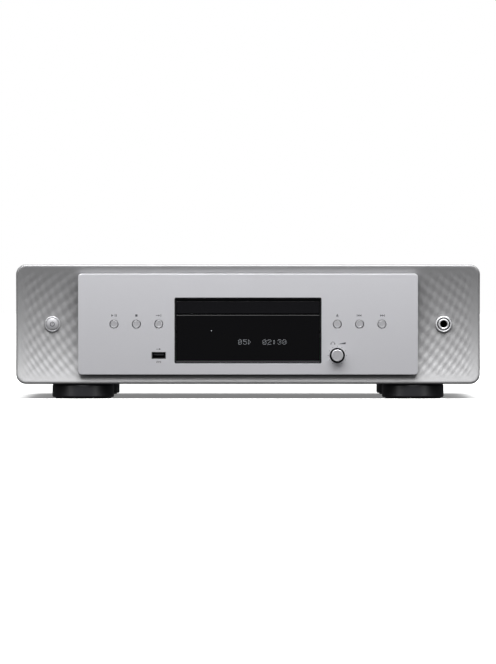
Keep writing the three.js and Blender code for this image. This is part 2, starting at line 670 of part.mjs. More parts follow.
function trayDriveGear() {
  const hub = rod('z', 3.4, [PULLEY_BOTTOM, GEAR_BOTTOM + 0.2], [DRIVE_X, GEAR_ROW_Y], 8);
  const dish = ring('z', [[5, GEAR_TOP - 1.2], [9.5, GEAR_TOP - 1.2], [9.5, GEAR_TOP + 1], [5, GEAR_TOP + 1]],
    [DRIVE_X, GEAR_ROW_Y], 12);
  const bore = rod('z', 2, [PULLEY_BOTTOM - 1, GEAR_TOP + 1], [DRIVE_X, GEAR_ROW_Y], 8);
  return cut(join(gearWheel(DRIVE_X, DRIVE_TEETH, 0), hub), dish, bore);
}

function groovedPulley(x, radius, sides) {
  const middle = (PULLEY_BOTTOM + PULLEY_TOP) / 2;
  return turned('z', [
    [0, PULLEY_BOTTOM], [radius + 0.3, PULLEY_BOTTOM], [radius - 0.9, middle - 0.4],
    [radius - 0.9, middle + 0.4], [radius + 0.3, PULLEY_TOP], [0, PULLEY_TOP],
  ], [x, GEAR_ROW_Y], sides);
}

function pulleyGear() {
  const halfTooth = Math.PI / PINION_TEETH;
  const wheel = join(
    groovedPulley(PULLEY_X, PULLEY_RADIUS, 18),
    rod('z', 3.6, [PULLEY_TOP - 0.2, GEAR_BOTTOM + 0.2], [PULLEY_X, GEAR_ROW_Y], 8),
    gearWheel(PULLEY_X, PINION_TEETH, halfTooth));
  return cut(wheel, rod('z', 2, [PULLEY_BOTTOM - 1, GEAR_TOP + 1], [PULLEY_X, GEAR_ROW_Y], 8));
}

function motorPulley() {
  const wheel = join(
    groovedPulley(MOTOR_X, MOTOR_PULLEY_RADIUS, 10),
    rod('z', 2.4, [PULLEY_TOP - 0.2, 81], [MOTOR_X, GEAR_ROW_Y], 8));
  return cut(wheel, rod('z', 1.3, [PULLEY_BOTTOM - 1, 82], [MOTOR_X, GEAR_ROW_Y], 8));
}

// The belt runs in both pulleys' grooves: two arcs joined by the outer tangents.
function beltOutline(offset) {
  const big = PULLEY_RADIUS - 0.6 + offset;
  const small = MOTOR_PULLEY_RADIUS - 0.6 + offset;
  const lean = Math.asin((big - small) / (MOTOR_X - PULLEY_X));
  const path = new THREE.Path();
  path.absarc(MOTOR_X, GEAR_ROW_Y, small, -Math.PI / 2 + lean, Math.PI / 2 - lean);
  path.absarc(PULLEY_X, GEAR_ROW_Y, big, Math.PI / 2 - lean, 3 * Math.PI / 2 + lean);
  path.closePath();
  return path;
}

function driveBelt() {
  const middle = (PULLEY_BOTTOM + PULLEY_TOP) / 2;
  const shape = new THREE.Shape(beltOutline(0.9).getPoints(6));
  shape.holes.push(new THREE.Path(beltOutline(0).getPoints(6)));
  return prism(shape, 'z', [middle - 0.3, middle + 0.3]);
}

function loaderMotor() {
  return turned('z', [
    [0, 62.5], [9.5, 62.5], [11, 63.5], [11, 72.5], [10, 73.7], [3, 73.7], [3, 75.6], [1, 75.6],
    [1, 80.6], [0, 80.6],
  ], [MOTOR_X, GEAR_ROW_Y], 10);
}

// The tray: disc recesses, a slot open to the rear for spindle and pickup, and the rack below.
function discTray() {
  const { halfWidth, front, back, bottom, top } = TRAY;
  const body = prism(
    roundedRect([-halfWidth, halfWidth], [front, back], 3), 'z', [bottom, top], { curveSegments: 3 });
  const centre = [0, SPINDLE_Y];
  const recess = turned('z', [
    [0, DISC_FLOOR - 1.5], [SMALL_RECESS, DISC_FLOOR - 1.5], [SMALL_RECESS + 0.8, DISC_FLOOR],
    [DISC_RECESS, DISC_FLOOR], [DISC_RECESS + 1.6, top + 0.5], [0, top + 0.5],
  ], centre, 36);
  const slot = join(
    rod('z', TRAY_SLOT, [bottom - 1, top + 1], centre, 20),
    block(span(0, TRAY_SLOT), [SPINDLE_Y, back + 1], [bottom - 1, top + 1]));
  const pockets = [-1, 1].map((side) => block(
    mirroredSpan(side, TRAY_SLOT + 3, halfWidth - 4), [-56, back - 5], [bottom - 1, top - 2]));
  const rackPoints = [[RACK_X - 6, back - 0.5], [RACK_X - 6, front + 14]];
  const pitch = Math.PI * MODULE;
  for (let k = -1; GEAR_ROW_Y + (k + 1) * pitch < back - 0.5; k += 1) {
    const y = GEAR_ROW_Y + (k + 0.5) * pitch;
    rackPoints.push([RACK_X - 1.25, y - 0.98], [RACK_X + 0.9, y - 0.28], [RACK_X + 0.9, y + 0.28],
      [RACK_X - 1.25, y + 0.98]);
  }
  rackPoints.splice(2, 0, [RACK_X - 1.25, front + 14]);
  rackPoints.push([RACK_X - 1.25, back - 0.5]);
  const rack = prism(outline(rackPoints), 'z', [RACK_BOTTOM, bottom + 0.3]);
  return join(cut(body, recess, slot, ...pockets), rack);
}

// Moulded loader frame: gear deck, rails that guide the tray, hinge ears and fixing lugs.
function loaderFrame() {
  const { bottom, top, halfWidth, front, back } = DECK;
  const deck = cut(
    block([-halfWidth, halfWidth], [front, back], [bottom, top]),
    block(span(0, DECK_OPENING), [-149.5, back - 5], [bottom - 1, top + 1]),
    rod('z', 11.6, [bottom - 1, top + 1], [MOTOR_X, GEAR_ROW_Y], 12));
  const pegs = [DRIVE_X, PULLEY_X].map((x) => rod('z', 1.7, [top - 0.5, GEAR_TOP + 0.2], [x, GEAR_ROW_Y], 8));
  const sides = [-1, 1].flatMap((side) => {
    const bar = (inner, outer, y, z) => block(mirroredSpan(side, inner, outer), y, z);
    const ear = cut(
      bar(DECK_OPENING + GAP, DECK_OPENING + 4.3, [-26, -14], [63, bottom + 0.5]),
      rod('x', 2.3, [-60, 60], [TRAVERSE.pivotY, TRAVERSE.pivotZ], 8));
    const lug = (y) => bar(halfWidth - 1, halfWidth + 14, span(y, 8), [62, 64.5]);
    return [
      bar(65, halfWidth, [front, back], [62, 96]),
      bar(58.5, 66, [front, back], [80.5, TRAY.bottom - GAP]),
      bar(61, 66, [-150, -100], [TRAY.top + GAP, 95]),
      bar(61, 66, [-60, -20], [TRAY.top + GAP, 95]),
      ear, lug(-140), lug(-30),
    ];
  });
  return join(deck, ...pegs, ...sides);
}

function mechanismBracket(side) {
  const inner = DECK.halfWidth + 1.5;
  const wall = block(mirroredSpan(side, inner, inner + SHEET), [-155, -15], [FLOOR + 0.3, 61.7]);
  const base = block(mirroredSpan(side, inner, inner + 14), [-155, -15], [FLOOR + 0.3, FLOOR + 0.3 + SHEET]);
  const shelf = block(mirroredSpan(side, inner, inner + 14), [-155, -15], [61.7 - SHEET, 61.7]);
  const hole = block(mirroredSpan(side, inner - 1, inner + 3), [-125, -45], [28, 50]);
  return cut(join(wall, base, shelf), hole);
}

// The bridge carries the disc clamp above the tray.
function clampBridge() {
  const strip = block(span(0, DECK.halfWidth), span(SPINDLE_Y, 13), [96.3, 98.5]);
  const disc = rod('z', 20, [96.3, 98.5], [0, SPINDLE_Y], 16);
  const ribs = [-1, 1].flatMap((side) => [-1, 1].map((edge) => block(
    mirroredSpan(side, 22, 66), span(SPINDLE_Y + edge * 11.8, 1), [98.3, 101])));
  return cut(join(strip, disc, ...ribs), rod('z', 11, [95, 100], [0, SPINDLE_Y], 12));
}

function discClamp() {
  return turned('z', [
    [0, 93], [8.2, 93], [8.2, 90], [15, 90], [15, 92.5], [9.8, 94], [9.8, 100], [14, 100], [14, 102],
    [0, 102.6],
  ], [0, SPINDLE_Y], 12);
}

// The cam's sloping slot lowers the traverse's front pin as the slider moves across.
function camSlider() {
  const { halfWidth } = TRAVERSE;
  const [near, far] = [-152.8, -150.6];
  const plate = block([-40, 10], [near, far], [48, 73.5]);
  const pinRoom = 2.4;
  const slope = TILT_DROP / CAM_TRAVEL;
  const end = -CAM_TRAVEL - 1.5;
  const slot = prism(outline([
    [1.5, TRAVERSE.pivotZ - pinRoom + slope * 1.5], [3, TRAVERSE.pivotZ],
    [1.5, TRAVERSE.pivotZ + pinRoom + slope * 1.5],
    [end, TRAVERSE.pivotZ + pinRoom + slope * end], [end - 2, TRAVERSE.pivotZ + slope * end],
    [end, TRAVERSE.pivotZ - pinRoom + slope * end],
  ]), 'y', [near - 1, far + 1]);
  const tab = block([-halfWidth, -38], [near, far], [62, 73.5]);
  return cut(join(plate, tab), slot);
}

function traverseChassis() {
  const { halfWidth, front, pivotY, pivotZ, bottom, top } = TRAVERSE;
  const plate = prism(
    roundedRect([-halfWidth, halfWidth], [front, -16], 5), 'z', [bottom, top], { curveSegments: 3 });
  const opening = block(span(0, 17), [-106, -60], [bottom - 1, top + 1]);
  const spindleHole = rod('z', 5, [bottom - 1, top + 1], [0, SPINDLE_Y], 10);
  const pins = rod('x', 2, [-DECK_OPENING - 3, DECK_OPENING + 3], [pivotY, pivotZ], 8);
  const camPin = rod('y', 1.6, [-154, front + 1], [0, pivotZ], 8);
  const stands = [-1, 1].flatMap((side) => [-115, -50].map((y) => cut(
    block(span(side * ROD_X, 3.5), span(y, 2), [top - 0.5, ROD_Z + 4]),
    rod('y', 1.8, span(y, 4), [side * ROD_X, ROD_Z], 8))));
  return join(cut(plate, opening, spindleHole), pins, camPin, ...stands);
}

function spindleMotor() {
  return turned('z', [
    [0, 55], [10.5, 55], [12, 56.5], [12, 66.5], [11, 67.7], [4.5, 67.7], [4.5, 71.4], [1, 71.4],
    [1, 86.2], [0, 86.2],
  ], [0, SPINDLE_Y], 10);
}

function turntable() {
  return ring('z', [
    [1.3, 72], [5, 72], [5, 85], [14.5, 86.3], [14.5, 88.5], [7.4, 88.5], [7.2, 90.2], [5, 91.8], [0, 91.8],
    [0, 86.5], [1.3, 86.5],
  ], [0, SPINDLE_Y], 12);
}

const SLED_Y = -96;

function pickupSled() {
  const body = block(span(0, 28), span(SLED_Y, 8.5), [72.5, 80]);
  const optics = prism(roundedRect(span(0, 13), span(SLED_Y, 11), 3), 'z', [72.5, 82.6], { curveSegments: 3 });
  const nutArm = block([SCREW_X - 3.4, -27], span(SLED_Y, 3), [ROD_Z - 3.3, ROD_Z + 3.3]);
  const grooves = [ROD_X, -ROD_X].map((x) => rod('y', 1.8, span(SLED_Y, 14), [x, ROD_Z], 8));
  const screwBore = rod('y', 2.3, span(SLED_Y, 6), [SCREW_X, ROD_Z], 8);
  const lensWell = rod('z', 5, [79.5, 84], [0, SLED_Y], 10);
  return cut(join(body, optics, nutArm), ...grooves, screwBore, lensWell);
}

function objectiveLens() {
  return turned('z', [
    [0, 81.4], [3.8, 81.4], [3.8, 83.2], [3, 83.8], [2.2, 83.8], [0, 84.5],
  ], [0, SLED_Y], 10);
}

function guideRod(x) {
  return rod('y', 1.5, [-117.5, -47.5], [x, ROD_Z], 10);
}

function leadScrew() {
  return turned('y', [
    [0, -118], [1.2, -118], [1.2, -114], [2, -113.5], [2, -52], [1, -51.5], [1, -46], [0, -46],
  ], [SCREW_X, ROD_Z], 8);
}

function sledMotor() {
  const can = [[0, -48.5], [5.4, -48.5], [6, -47.9], [6, -33], [5, -32], [0, -32]];
  return cut(
    turned('y', can, [SCREW_X, ROD_Z + 1.5], 10),
    rod('y', 1.3, [-50, -44], [SCREW_X, ROD_Z], 8),
    block(span(SCREW_X, 8), [-50, -30], [60, TRAVERSE.top + GAP]));
}

// ---- assembly -----------------------------------------------------------------

const group = new THREE.Group();

function add(name, solid, material) {
  const mesh = new THREE.Mesh(toGeometry(solid), material);
  mesh.name = name;
  group.add(mesh);
}

add('front_fascia', frontFascia(), SILVER_PAINT);
add('front_plate', frontPlate(), SATIN_ALUMINIUM);
add('window_bezel', windowBezel(), GLOSS_BLACK);
add('display_lens', displayLens(), SMOKED_LENS);
add('display_module', displayModule(), MATTE_BLACK);
add('tray_door', trayDoor(), GLOSS_BLACK);
const [inner, middle, outer] = BUTTON_X;
const buttons = {
  play_pause_button: -outer, stop_button: -middle, input_button: -inner,
  open_close_button: inner, skip_back_button: middle, skip_forward_button: outer,
};
for (const [name, x] of Object.entries(buttons)) add(name, pushButton(x), SATIN_ALUMINIUM);
add('power_button', powerButton(), SATIN_ALUMINIUM);
add('power_button_ring', powerButtonRing(), BRIGHT_METAL);
add('level_knob', levelKnob(), SATIN_ALUMINIUM);
add('level_shaft', levelShaft(), ZINC_STEEL);
add('level_potentiometer', levelPotentiometer(), MATTE_BLACK);
add('usb_socket', usbSocket(), ZINC_STEEL);
add('headphone_socket', headphoneSocket(), MATTE_BLACK);
add('front_board', frontBoard(), BOARD_GREEN);

add('top_cover', topCover(), COATED_STEEL);
add('bottom_chassis', bottomChassis(), ZINC_STEEL);
add('rear_panel', rearPanel(), COATED_STEEL);
const feet = { left: -FOOT.x, right: FOOT.x };
for (const [side, x] of Object.entries(feet)) {
  add(`foot_front_${side}`, foot(x, FOOT.frontY), RUBBER);
  add(`foot_rear_${side}`, foot(x, FOOT.rearY), RUBBER);
}
add('mains_inlet', mainsInlet(), MATTE_BLACK);
add('analog_out_sockets', analogOutSockets(), GOLD_PLATE);
add('digital_sockets', digitalSockets(), GOLD_PLATE);
add('remote_sockets', remoteSockets(), MATTE_BLACK);
add('remote_switch', remoteSwitch(), MATTE_BLACK);

add('transformer', transformer(), TAPE_YELLOW);
add('transformer_clamp', transformerClamp(), ZINC_STEEL);
add('power_board', powerBoard(), BOARD_GREEN);
add('reservoir_capacitor_left', reservoirCapacitor(-190), MATTE_BLACK);
add('reservoir_capacitor_right', reservoirCapacitor(-164), MATTE_BLACK);
add('audio_board', audioBoard(), BOARD_GREEN);

add('disc_tray', discTray(), MATTE_BLACK);
add('loader_frame', loaderFrame(), MATTE_BLACK);
add('mechanism_bracket_left', mechanismBracket(-1), ZINC_STEEL);
add('mechanism_bracket_right', mechanismBracket(1), ZINC_STEEL);
add('clamp_bridge', clampBridge(), ZINC_STEEL);
add('disc_clamp', discClamp(), WHITE_PLASTIC);
add('tray_drive_gear', trayDriveGear(), WHITE_PLASTIC);
add('pulley_gear', pulleyGear(), WHITE_PLASTIC);
add('motor_pulley', motorPulley(), WHITE_PLASTIC);
add('drive_belt', driveBelt(), RUBBER);
add('loader_motor', loaderMotor(), ZINC_STEEL);
add('cam_slider', camSlider(), WHITE_PLASTIC);
add('traverse_chassis', traverseChassis(), MATTE_BLACK);
add('spindle_motor', spindleMotor(), ZINC_STEEL);
add('turntable', turntable(), MATTE_BLACK);
add('pickup_sled', pickupSled(), MATTE_BLACK);
add('objective_lens', objectiveLens(), SMOKED_LENS);
add('guide_rod_main', guideRod(-ROD_X), BRIGHT_METAL);
add('guide_rod_side', guideRod(ROD_X), BRIGHT_METAL);
add('lead_screw', leadScrew(), BRIGHT_METAL);
add('sled_motor', sledMotor(), ZINC_STEEL);

export default group;
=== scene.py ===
# %% [markdown]
# # A full-width CD player
# The mechanical model arrives as a fixed frame: every sub-part in metres, with its joints. This
# notebook gives it its looks. The silver front, the aluminium plate and whatever the hand or the
# eye meets first are modelled again with fine surfaces; the inner parts keep their shapes and get
# finishes. First the frame is loaded.

import json
import math

import bmesh
import bpy
from mathutils import Matrix, Vector


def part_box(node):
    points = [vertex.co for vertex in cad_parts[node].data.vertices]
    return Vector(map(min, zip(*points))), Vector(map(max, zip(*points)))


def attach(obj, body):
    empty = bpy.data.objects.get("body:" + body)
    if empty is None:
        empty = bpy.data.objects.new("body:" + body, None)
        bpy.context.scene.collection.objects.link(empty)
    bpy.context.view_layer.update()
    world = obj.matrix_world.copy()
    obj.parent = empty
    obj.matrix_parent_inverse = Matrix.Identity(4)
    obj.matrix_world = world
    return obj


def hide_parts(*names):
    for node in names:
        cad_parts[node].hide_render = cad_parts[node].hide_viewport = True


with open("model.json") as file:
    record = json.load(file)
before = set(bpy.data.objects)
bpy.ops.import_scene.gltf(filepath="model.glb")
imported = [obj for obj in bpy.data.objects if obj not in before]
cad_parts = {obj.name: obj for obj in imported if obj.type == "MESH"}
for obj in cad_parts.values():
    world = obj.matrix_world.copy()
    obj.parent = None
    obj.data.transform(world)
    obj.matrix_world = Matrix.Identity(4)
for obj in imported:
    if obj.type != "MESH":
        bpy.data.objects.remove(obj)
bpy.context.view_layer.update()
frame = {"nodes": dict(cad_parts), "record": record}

# %% [markdown]
# Product shapes are easiest to think about in millimetres, so pieces are modelled in
# millimetres and scaled once, when they are finished. Places come from the frame's own boxes.

# %% Places from the frame
MM = 0.001


def corners(node):
    """Lowest and highest corner of a frame node, in millimetres."""
    low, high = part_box(node)
    return low / MM, high / MM


def middle(node):
    low, high = corners(node)
    return (low + high) / 2


fascia_low, fascia_high = corners("front_fascia")
plate_low, plate_high = corners("front_plate")
MID_HEIGHT = (fascia_low.z + fascia_high.z) / 2
HALF_WIDTH = fascia_high.x
HALF_HEIGHT = fascia_high.z - MID_HEIGHT
print("fascia", round(2 * HALF_WIDTH), "by", round(2 * HALF_HEIGHT), "mm")
print("middle at", round(MID_HEIGHT), "mm")

# %% [markdown]
# The camera looks at the front from seven metres through a long lens, so the rear feet hide
# behind the front ones and only a thin strip of floor shows. It stands a little above the
# middle of the front and tilts down by a fraction of a degree.

# %% Camera
CAMERA_DISTANCE = 7.0
CAMERA_HEIGHT = 0.1
FRAME_CENTRE = 0.0636          # height on the front's plane that the camera aims at
FRAME_HEIGHT = 0.6319          # how much of the front's plane the camera sees, top to bottom
SENSOR = 36.0

camera_data = bpy.data.cameras.new("front_camera")
camera_data.sensor_width = SENSOR
camera_data.lens = SENSOR * CAMERA_DISTANCE / FRAME_HEIGHT
camera = bpy.data.objects.new("front_camera", camera_data)
camera.location = (0, plate_low.y * MM - CAMERA_DISTANCE, CAMERA_HEIGHT)
downward = math.atan((CAMERA_HEIGHT - FRAME_CENTRE) / CAMERA_DISTANCE)
camera.rotation_euler = (math.pi / 2 - downward, 0, 0)
bpy.context.scene.collection.objects.link(camera)
bpy.context.scene.camera = camera
print("lens", round(camera_data.lens), "mm")

# %% [markdown]
# ## Finishes
# Each finish is a node material. Colours are written as sRGB hex values, as a designer would
# read them off a sample card, and one function turns them into the linear values that the
# renderer works with. One small helper adds a node, its settings and its links.

# %% Colour and node helpers
def linear(hex_text, alpha=1.0):
    """Linear RGBA of an sRGB hex colour such as "c4c4c9"."""
    channels = [int(hex_text[i:i + 2], 16) / 255 for i in (0, 2, 4)]
    return [c / 12.92 if c <= 0.04045 else ((c + 0.055) / 1.055) ** 2.4 for c in channels] + [alpha]


def add_node(tree, kind, inputs=None, **settings):
    """Adds a node. An input is a value or the socket that feeds it."""
    node = tree.nodes.new(kind)
    for name, value in settings.items():
        setattr(node, name, value)
    for name, value in (inputs or {}).items():
        if isinstance(value, bpy.types.NodeSocket):
            tree.links.new(value, node.inputs[name])
        else:
            node.inputs[name].default_value = value
    return node


finishes = {}


def start_finish(name, colour, roughness, metallic=0.0, **sockets):
    """A principled material of one colour, ready for its pattern."""
    material = bpy.data.materials.new(name)
    material.use_nodes = True
    shader = material.node_tree.nodes["Principled BSDF"]
    shader.inputs["Base Color"].default_value = linear(colour)
    shader.inputs["Roughness"].default_value = roughness
    shader.inputs["Metallic"].default_value = metallic
    for socket, value in sockets.items():
        shader.inputs[socket.replace("_", " ")].default_value = value
    finishes[name] = material
    return material.node_tree, shader


def grain(tree, shader, size_mm, height_mm, colours=None, stretch=(1, 1, 1), detail=3.0):
    """Fine noise of a real grain size: it lifts the surface and may vary its colour."""
    place = add_node(tree, "ShaderNodeTexCoord").outputs["Object"]
    mapping = add_node(tree, "ShaderNodeMapping", {"Vector": place, "Scale": stretch})
    noise = add_node(tree, "ShaderNodeTexNoise", {
        "Vector": mapping.outputs["Vector"], "Scale": 1 / (size_mm * MM), "Detail": detail,
        "Roughness": 0.6})
    bump = add_node(tree, "ShaderNodeBump", {"Height": noise.outputs["Fac"], "Distance": height_mm * MM})
    tree.links.new(bump.outputs["Normal"], shader.inputs["Normal"])
    if colours:
        ramp = add_node(tree, "ShaderNodeValToRGB", {"Fac": noise.outputs["Fac"]})
        for stop, colour, where in zip(ramp.color_ramp.elements, colours, (0.3, 0.7)):
            stop.color = linear(colour)
            stop.position = where
        tree.links.new(ramp.outputs["Color"], shader.inputs["Base Color"])
    return noise


print("helpers ready")

# %% [markdown]
# The front is a moulding in silver lacquer: metal flake in a clear binder. It is duller than
# bare metal, because the flakes lie at slightly different angles, and that soft sheen is what
# makes the dished surface read. The plate is aluminium, blasted with fine beads and anodised,
# which gives an even satin with a faint cool tint. Buttons and knob are turned from the same
# metal, and the rings are plated and polished.

# %% Front finishes
tree, shader = start_finish("silver_lacquer", "8e8e8f", 0.55, 0.62, Coat_Weight=0.15, Coat_Roughness=0.3)
grain(tree, shader, 0.35, 0.006, ("888889", "949495"))

tree, shader = start_finish("blasted_anodised_aluminium", "cdcdd1", 0.45, 0.8)
grain(tree, shader, 0.25, 0.004, ("c8c8cc", "d2d2d6"))

tree, shader = start_finish("turned_anodised_aluminium", "bfbfc2", 0.42, 0.8)
grain(tree, shader, 0.2, 0.003)

tree, shader = start_finish("turned_bright", "d8d8da", 0.35, 0.75)
grain(tree, shader, 0.2, 0.002)

tree, shader = start_finish("polished_plating", "d9d9da", 0.12, 1.0)
grain(tree, shader, 2.0, 0.002)

tree, shader = start_finish("gloss_black_abs", "0b0b0d", 0.16)
grain(tree, shader, 3.0, 0.004)

tree, shader = start_finish("smoked_acrylic", "060607", 0.05, IOR=1.49)
grain(tree, shader, 12.0, 0.002)

tree, shader = start_finish("satin_black_abs", "161618", 0.7, Specular_IOR_Level=0.15)
grain(tree, shader, 0.4, 0.006)

tree, shader = start_finish("gloss_black_foot", "202023", 0.36)
grain(tree, shader, 0.6, 0.006)

tree, shader = start_finish("foot_pad_rubber", "2c2c2d", 0.75)
grain(tree, shader, 0.5, 0.03)

tree, shader = start_finish("grey_polymer", "4c4c50", 0.5)
grain(tree, shader, 0.3, 0.004)

tree, shader = start_finish("dark_nickel", "5a5a5c", 0.35, 0.9)
grain(tree, shader, 0.5, 0.002)

tree, shader = start_finish("screen_print", "3e3e43", 0.6)
grain(tree, shader, 0.1, 0.001)
print("front finishes:", sorted(finishes))

# %% [markdown]
# The case is folded steel: the wrap and the back are powder coated in silver grey, whose fine
# orange-peel catches the light, while the pan and brackets keep bright zinc with its faint
# crystal flakes. Inside there are mouldings, boards, wound tape and ground rods.

# %% Case and inner finishes
tree, shader = start_finish("silver_powder_coat", "85878a", 0.5, 0.35)
grain(tree, shader, 0.5, 0.02, ("808285", "8a8c8f"))

tree, shader = start_finish("zinc_sheet", "b2b4b6", 0.38, 0.9)
place = add_node(tree, "ShaderNodeTexCoord").outputs["Object"]
flakes = add_node(tree, "ShaderNodeTexVoronoi", {"Vector": place, "Scale": 1 / (4 * MM)})
dulled = add_node(tree, "ShaderNodeMapRange", {
    "Value": flakes.outputs["Distance"], "To Min": 0.3, "To Max": 0.45})
tree.links.new(dulled.outputs["Result"], shader.inputs["Roughness"])

tree, shader = start_finish("ground_steel", "c8c9ca", 0.2, 1.0)
grain(tree, shader, 0.15, 0.002, stretch=(1, 0.05, 1))

tree, shader = start_finish("moulded_black", "1b1b1d", 0.55)
grain(tree, shader, 0.3, 0.015)

tree, shader = start_finish("natural_acetal", "e2dfd4", 0.4, Subsurface_Weight=0.05)
grain(tree, shader, 0.8, 0.006)

tree, shader = start_finish("coated_lens_glass", "4a5a8c", 0.03)
grain(tree, shader, 1.0, 0.0005)

tree, shader = start_finish("solder_resist", "1f5c39", 0.35)
place = add_node(tree, "ShaderNodeTexCoord").outputs["Object"]
tracks = add_node(tree, "ShaderNodeTexBrick", {
    "Vector": place, "Scale": 1 / (3 * MM), "Mortar Size": 0.06,
    "Color1": linear("1f5c39"), "Color2": linear("245f3c"), "Mortar": linear("3f7d50")})
tree.links.new(tracks.outputs["Color"], shader.inputs["Base Color"])

tree, shader = start_finish("wound_tape", "c39a34", 0.3)
place = add_node(tree, "ShaderNodeTexCoord").outputs["Object"]
wraps = add_node(tree, "ShaderNodeTexWave", {
    "Vector": place, "Scale": 1 / (18 * MM), "Distortion": 0.4}, bands_direction="DIAGONAL")
step = add_node(tree, "ShaderNodeBump", {"Height": wraps.outputs["Fac"], "Distance": 0.1 * MM})
tree.links.new(step.outputs["Normal"], shader.inputs["Normal"])

tree, shader = start_finish("gold_plating", "dfb458", 0.2, 1.0)
grain(tree, shader, 0.4, 0.003)

tree, shader = start_finish("seal_foam", "131314", 0.95)
grain(tree, shader, 0.6, 0.05)

tree, shader = start_finish("belt_rubber", "202020", 0.7)
grain(tree, shader, 0.3, 0.01)

tree, shader = start_finish("white_insulator", "e8e6e0", 0.4)
grain(tree, shader, 0.4, 0.004)

tree, shader = start_finish("red_insulator", "a8232a", 0.4)
grain(tree, shader, 0.4, 0.004)

tree, shader = start_finish("display_light", "85888c", 0.5)
shader.inputs["Emission Color"].default_value = linear("b4b9bf")
shader.inputs["Emission Strength"].default_value = 0.28
print("finishes:", len(finishes))

# %% [markdown]
# The frame's own pieces that keep their shape get their finish in their material slot. The
# record names a slot for each node, so one short table from slot to finish covers them all.

# %% Finishes on the frame's nodes
SLOT_FINISH = {
    "fascia_silver": "silver_lacquer", "plate_aluminium": "blasted_anodised_aluminium",
    "control_metal": "turned_anodised_aluminium", "bright_trim": "polished_plating",
    "window_black": "gloss_black_abs", "window_lens": "smoked_acrylic", "moulded_black": "moulded_black",
    "white_moulding": "natural_acetal", "coated_steel": "silver_powder_coat", "zinc_steel": "zinc_sheet",
    "ground_steel": "ground_steel", "lens_glass": "coated_lens_glass", "circuit_board": "solder_resist",
    "winding_tape": "wound_tape", "gold_plating": "gold_plating", "foot_black": "gloss_black_foot",
    "belt_rubber": "belt_rubber",
}
slot_of = {part["node"]: part["material_slot"] for part in frame["record"]["subparts"]}
body_of = {node: body for body, nodes in frame["record"]["behaviour"]["bodies"].items() for node in nodes}
for node, obj in frame["nodes"].items():
    obj.data.materials.clear()
    obj.data.materials.append(finishes[SLOT_FINISH[slot_of[node]]])
print("nodes given a finish:", len(slot_of))

# %% [markdown]
# ## Modelling helpers
# A turned piece starts as a line, its profile, that is spun round an axis. A block starts as a
# cube with bevelled edges. Each helper gives one shape, and a piece is made of one or more of
# them. When it is finished its doubles are merged, its faces turned outward, its hard edges
# marked and its millimetres scaled to metres.

# %% Shapes: turned pieces, blocks and copies of frame nodes
SHARP_ANGLE = math.radians(32)
FLAT_AREA = 1.2e-5            # larger faces, in square metres, are flat on the real part too
ALONG = {
    "x": Matrix.Rotation(math.pi / 2, 4, "Y"),
    "y": Matrix.Rotation(-math.pi / 2, 4, "X"),
    "z": Matrix.Identity(4),
}


def turned(profile, axis, centre, steps=64):
    """Spins (radius, place along the axis) points round the axis through centre."""
    bm = bmesh.new()
    verts = [bm.verts.new((radius, 0, place)) for radius, place in profile]
    edges = [bm.edges.new(pair) for pair in zip(verts, verts[1:])]
    bmesh.ops.spin(
        bm, geom=verts + edges, cent=(0, 0, 0), axis=(0, 0, 1), dvec=(0, 0, 0),
        angle=2 * math.pi, steps=steps, use_merge=True)
    bmesh.ops.remove_doubles(bm, verts=bm.verts, dist=1e-4)
    bmesh.ops.transform(bm, matrix=ALONG[axis], verts=bm.verts)
    offset = Vector(centre)
    offset["xyz".index(axis)] = 0
    bmesh.ops.translate(bm, vec=offset, verts=bm.verts)
    return bm


def drum(radius, start, end, axis, centre, steps=48):
    """A plain round bar or, as a cutter, a drilled hole."""
    return turned([(0, start), (radius, start), (radius, end), (0, end)], axis, centre, steps)


def block(low, high, bevel=0.0, segments=2):
    """A box between two corners, with its edges bevelled."""
    bm = bmesh.new()
    low, high = Vector(low), Vector(high)
    bmesh.ops.create_cube(bm, size=1)
    bmesh.ops.scale(bm, vec=high - low, verts=bm.verts)
    bmesh.ops.translate(bm, vec=(low + high) / 2, verts=bm.verts)
    if bevel:
        bmesh.ops.bevel(
            bm, geom=bm.edges[:], offset=bevel, segments=segments, profile=0.5, affect="EDGES", material=-1)
    return bm


def rounded_block(low, high, radius, axis, rim=0.0, steps=8):
    """A box with its four edges along one axis rounded, and its two rims bevelled."""
    bm = block(low, high)
    place = "xyz".index(axis)

    def lies_along(edge):
        return abs(edge.verts[0].co[place] - edge.verts[1].co[place]) > 1e-6

    bmesh.ops.bevel(
        bm, geom=[e for e in bm.edges if lies_along(e)], offset=radius, segments=steps, profile=0.5,
        affect="EDGES", material=-1)
    if rim:
        bmesh.ops.bevel(
            bm, geom=[e for e in bm.edges if not lies_along(e)], offset=rim, segments=3, profile=0.5,
            affect="EDGES", material=-1)
    return bm


def node_copy(node):
    """A frame node's mesh with its loose triangles merged into whole faces, in millimetres."""
    bm = bmesh.new()
    bm.from_mesh(frame["nodes"][node].data)
    bmesh.ops.remove_doubles(bm, verts=bm.verts, dist=1e-6)
    bmesh.ops.dissolve_limit(bm, angle_limit=math.radians(1), verts=bm.verts, edges=bm.edges)
    bmesh.ops.scale(bm, vec=(1 / MM, 1 / MM, 1 / MM), verts=bm.verts)
    return bm


print("shapes ready")

# %% From shapes to pieces
def to_object(name, *shapes):
    """Joins millimetre shapes into one object in metres, standing at the origin."""
    whole = bmesh.new()
    for bm in shapes:
        bmesh.ops.recalc_face_normals(bm, faces=bm.faces)
        bmesh.ops.scale(bm, vec=(MM, MM, MM), verts=bm.verts)
        passing = bpy.data.meshes.new("passing")
        bm.to_mesh(passing)
        bm.free()
        whole.from_mesh(passing)
        bpy.data.meshes.remove(passing)
    mesh = bpy.data.meshes.new(name)
    whole.to_mesh(mesh)
    whole.free()
    piece = bpy.data.objects.new(name, mesh)
    bpy.context.scene.collection.objects.link(piece)
    return piece


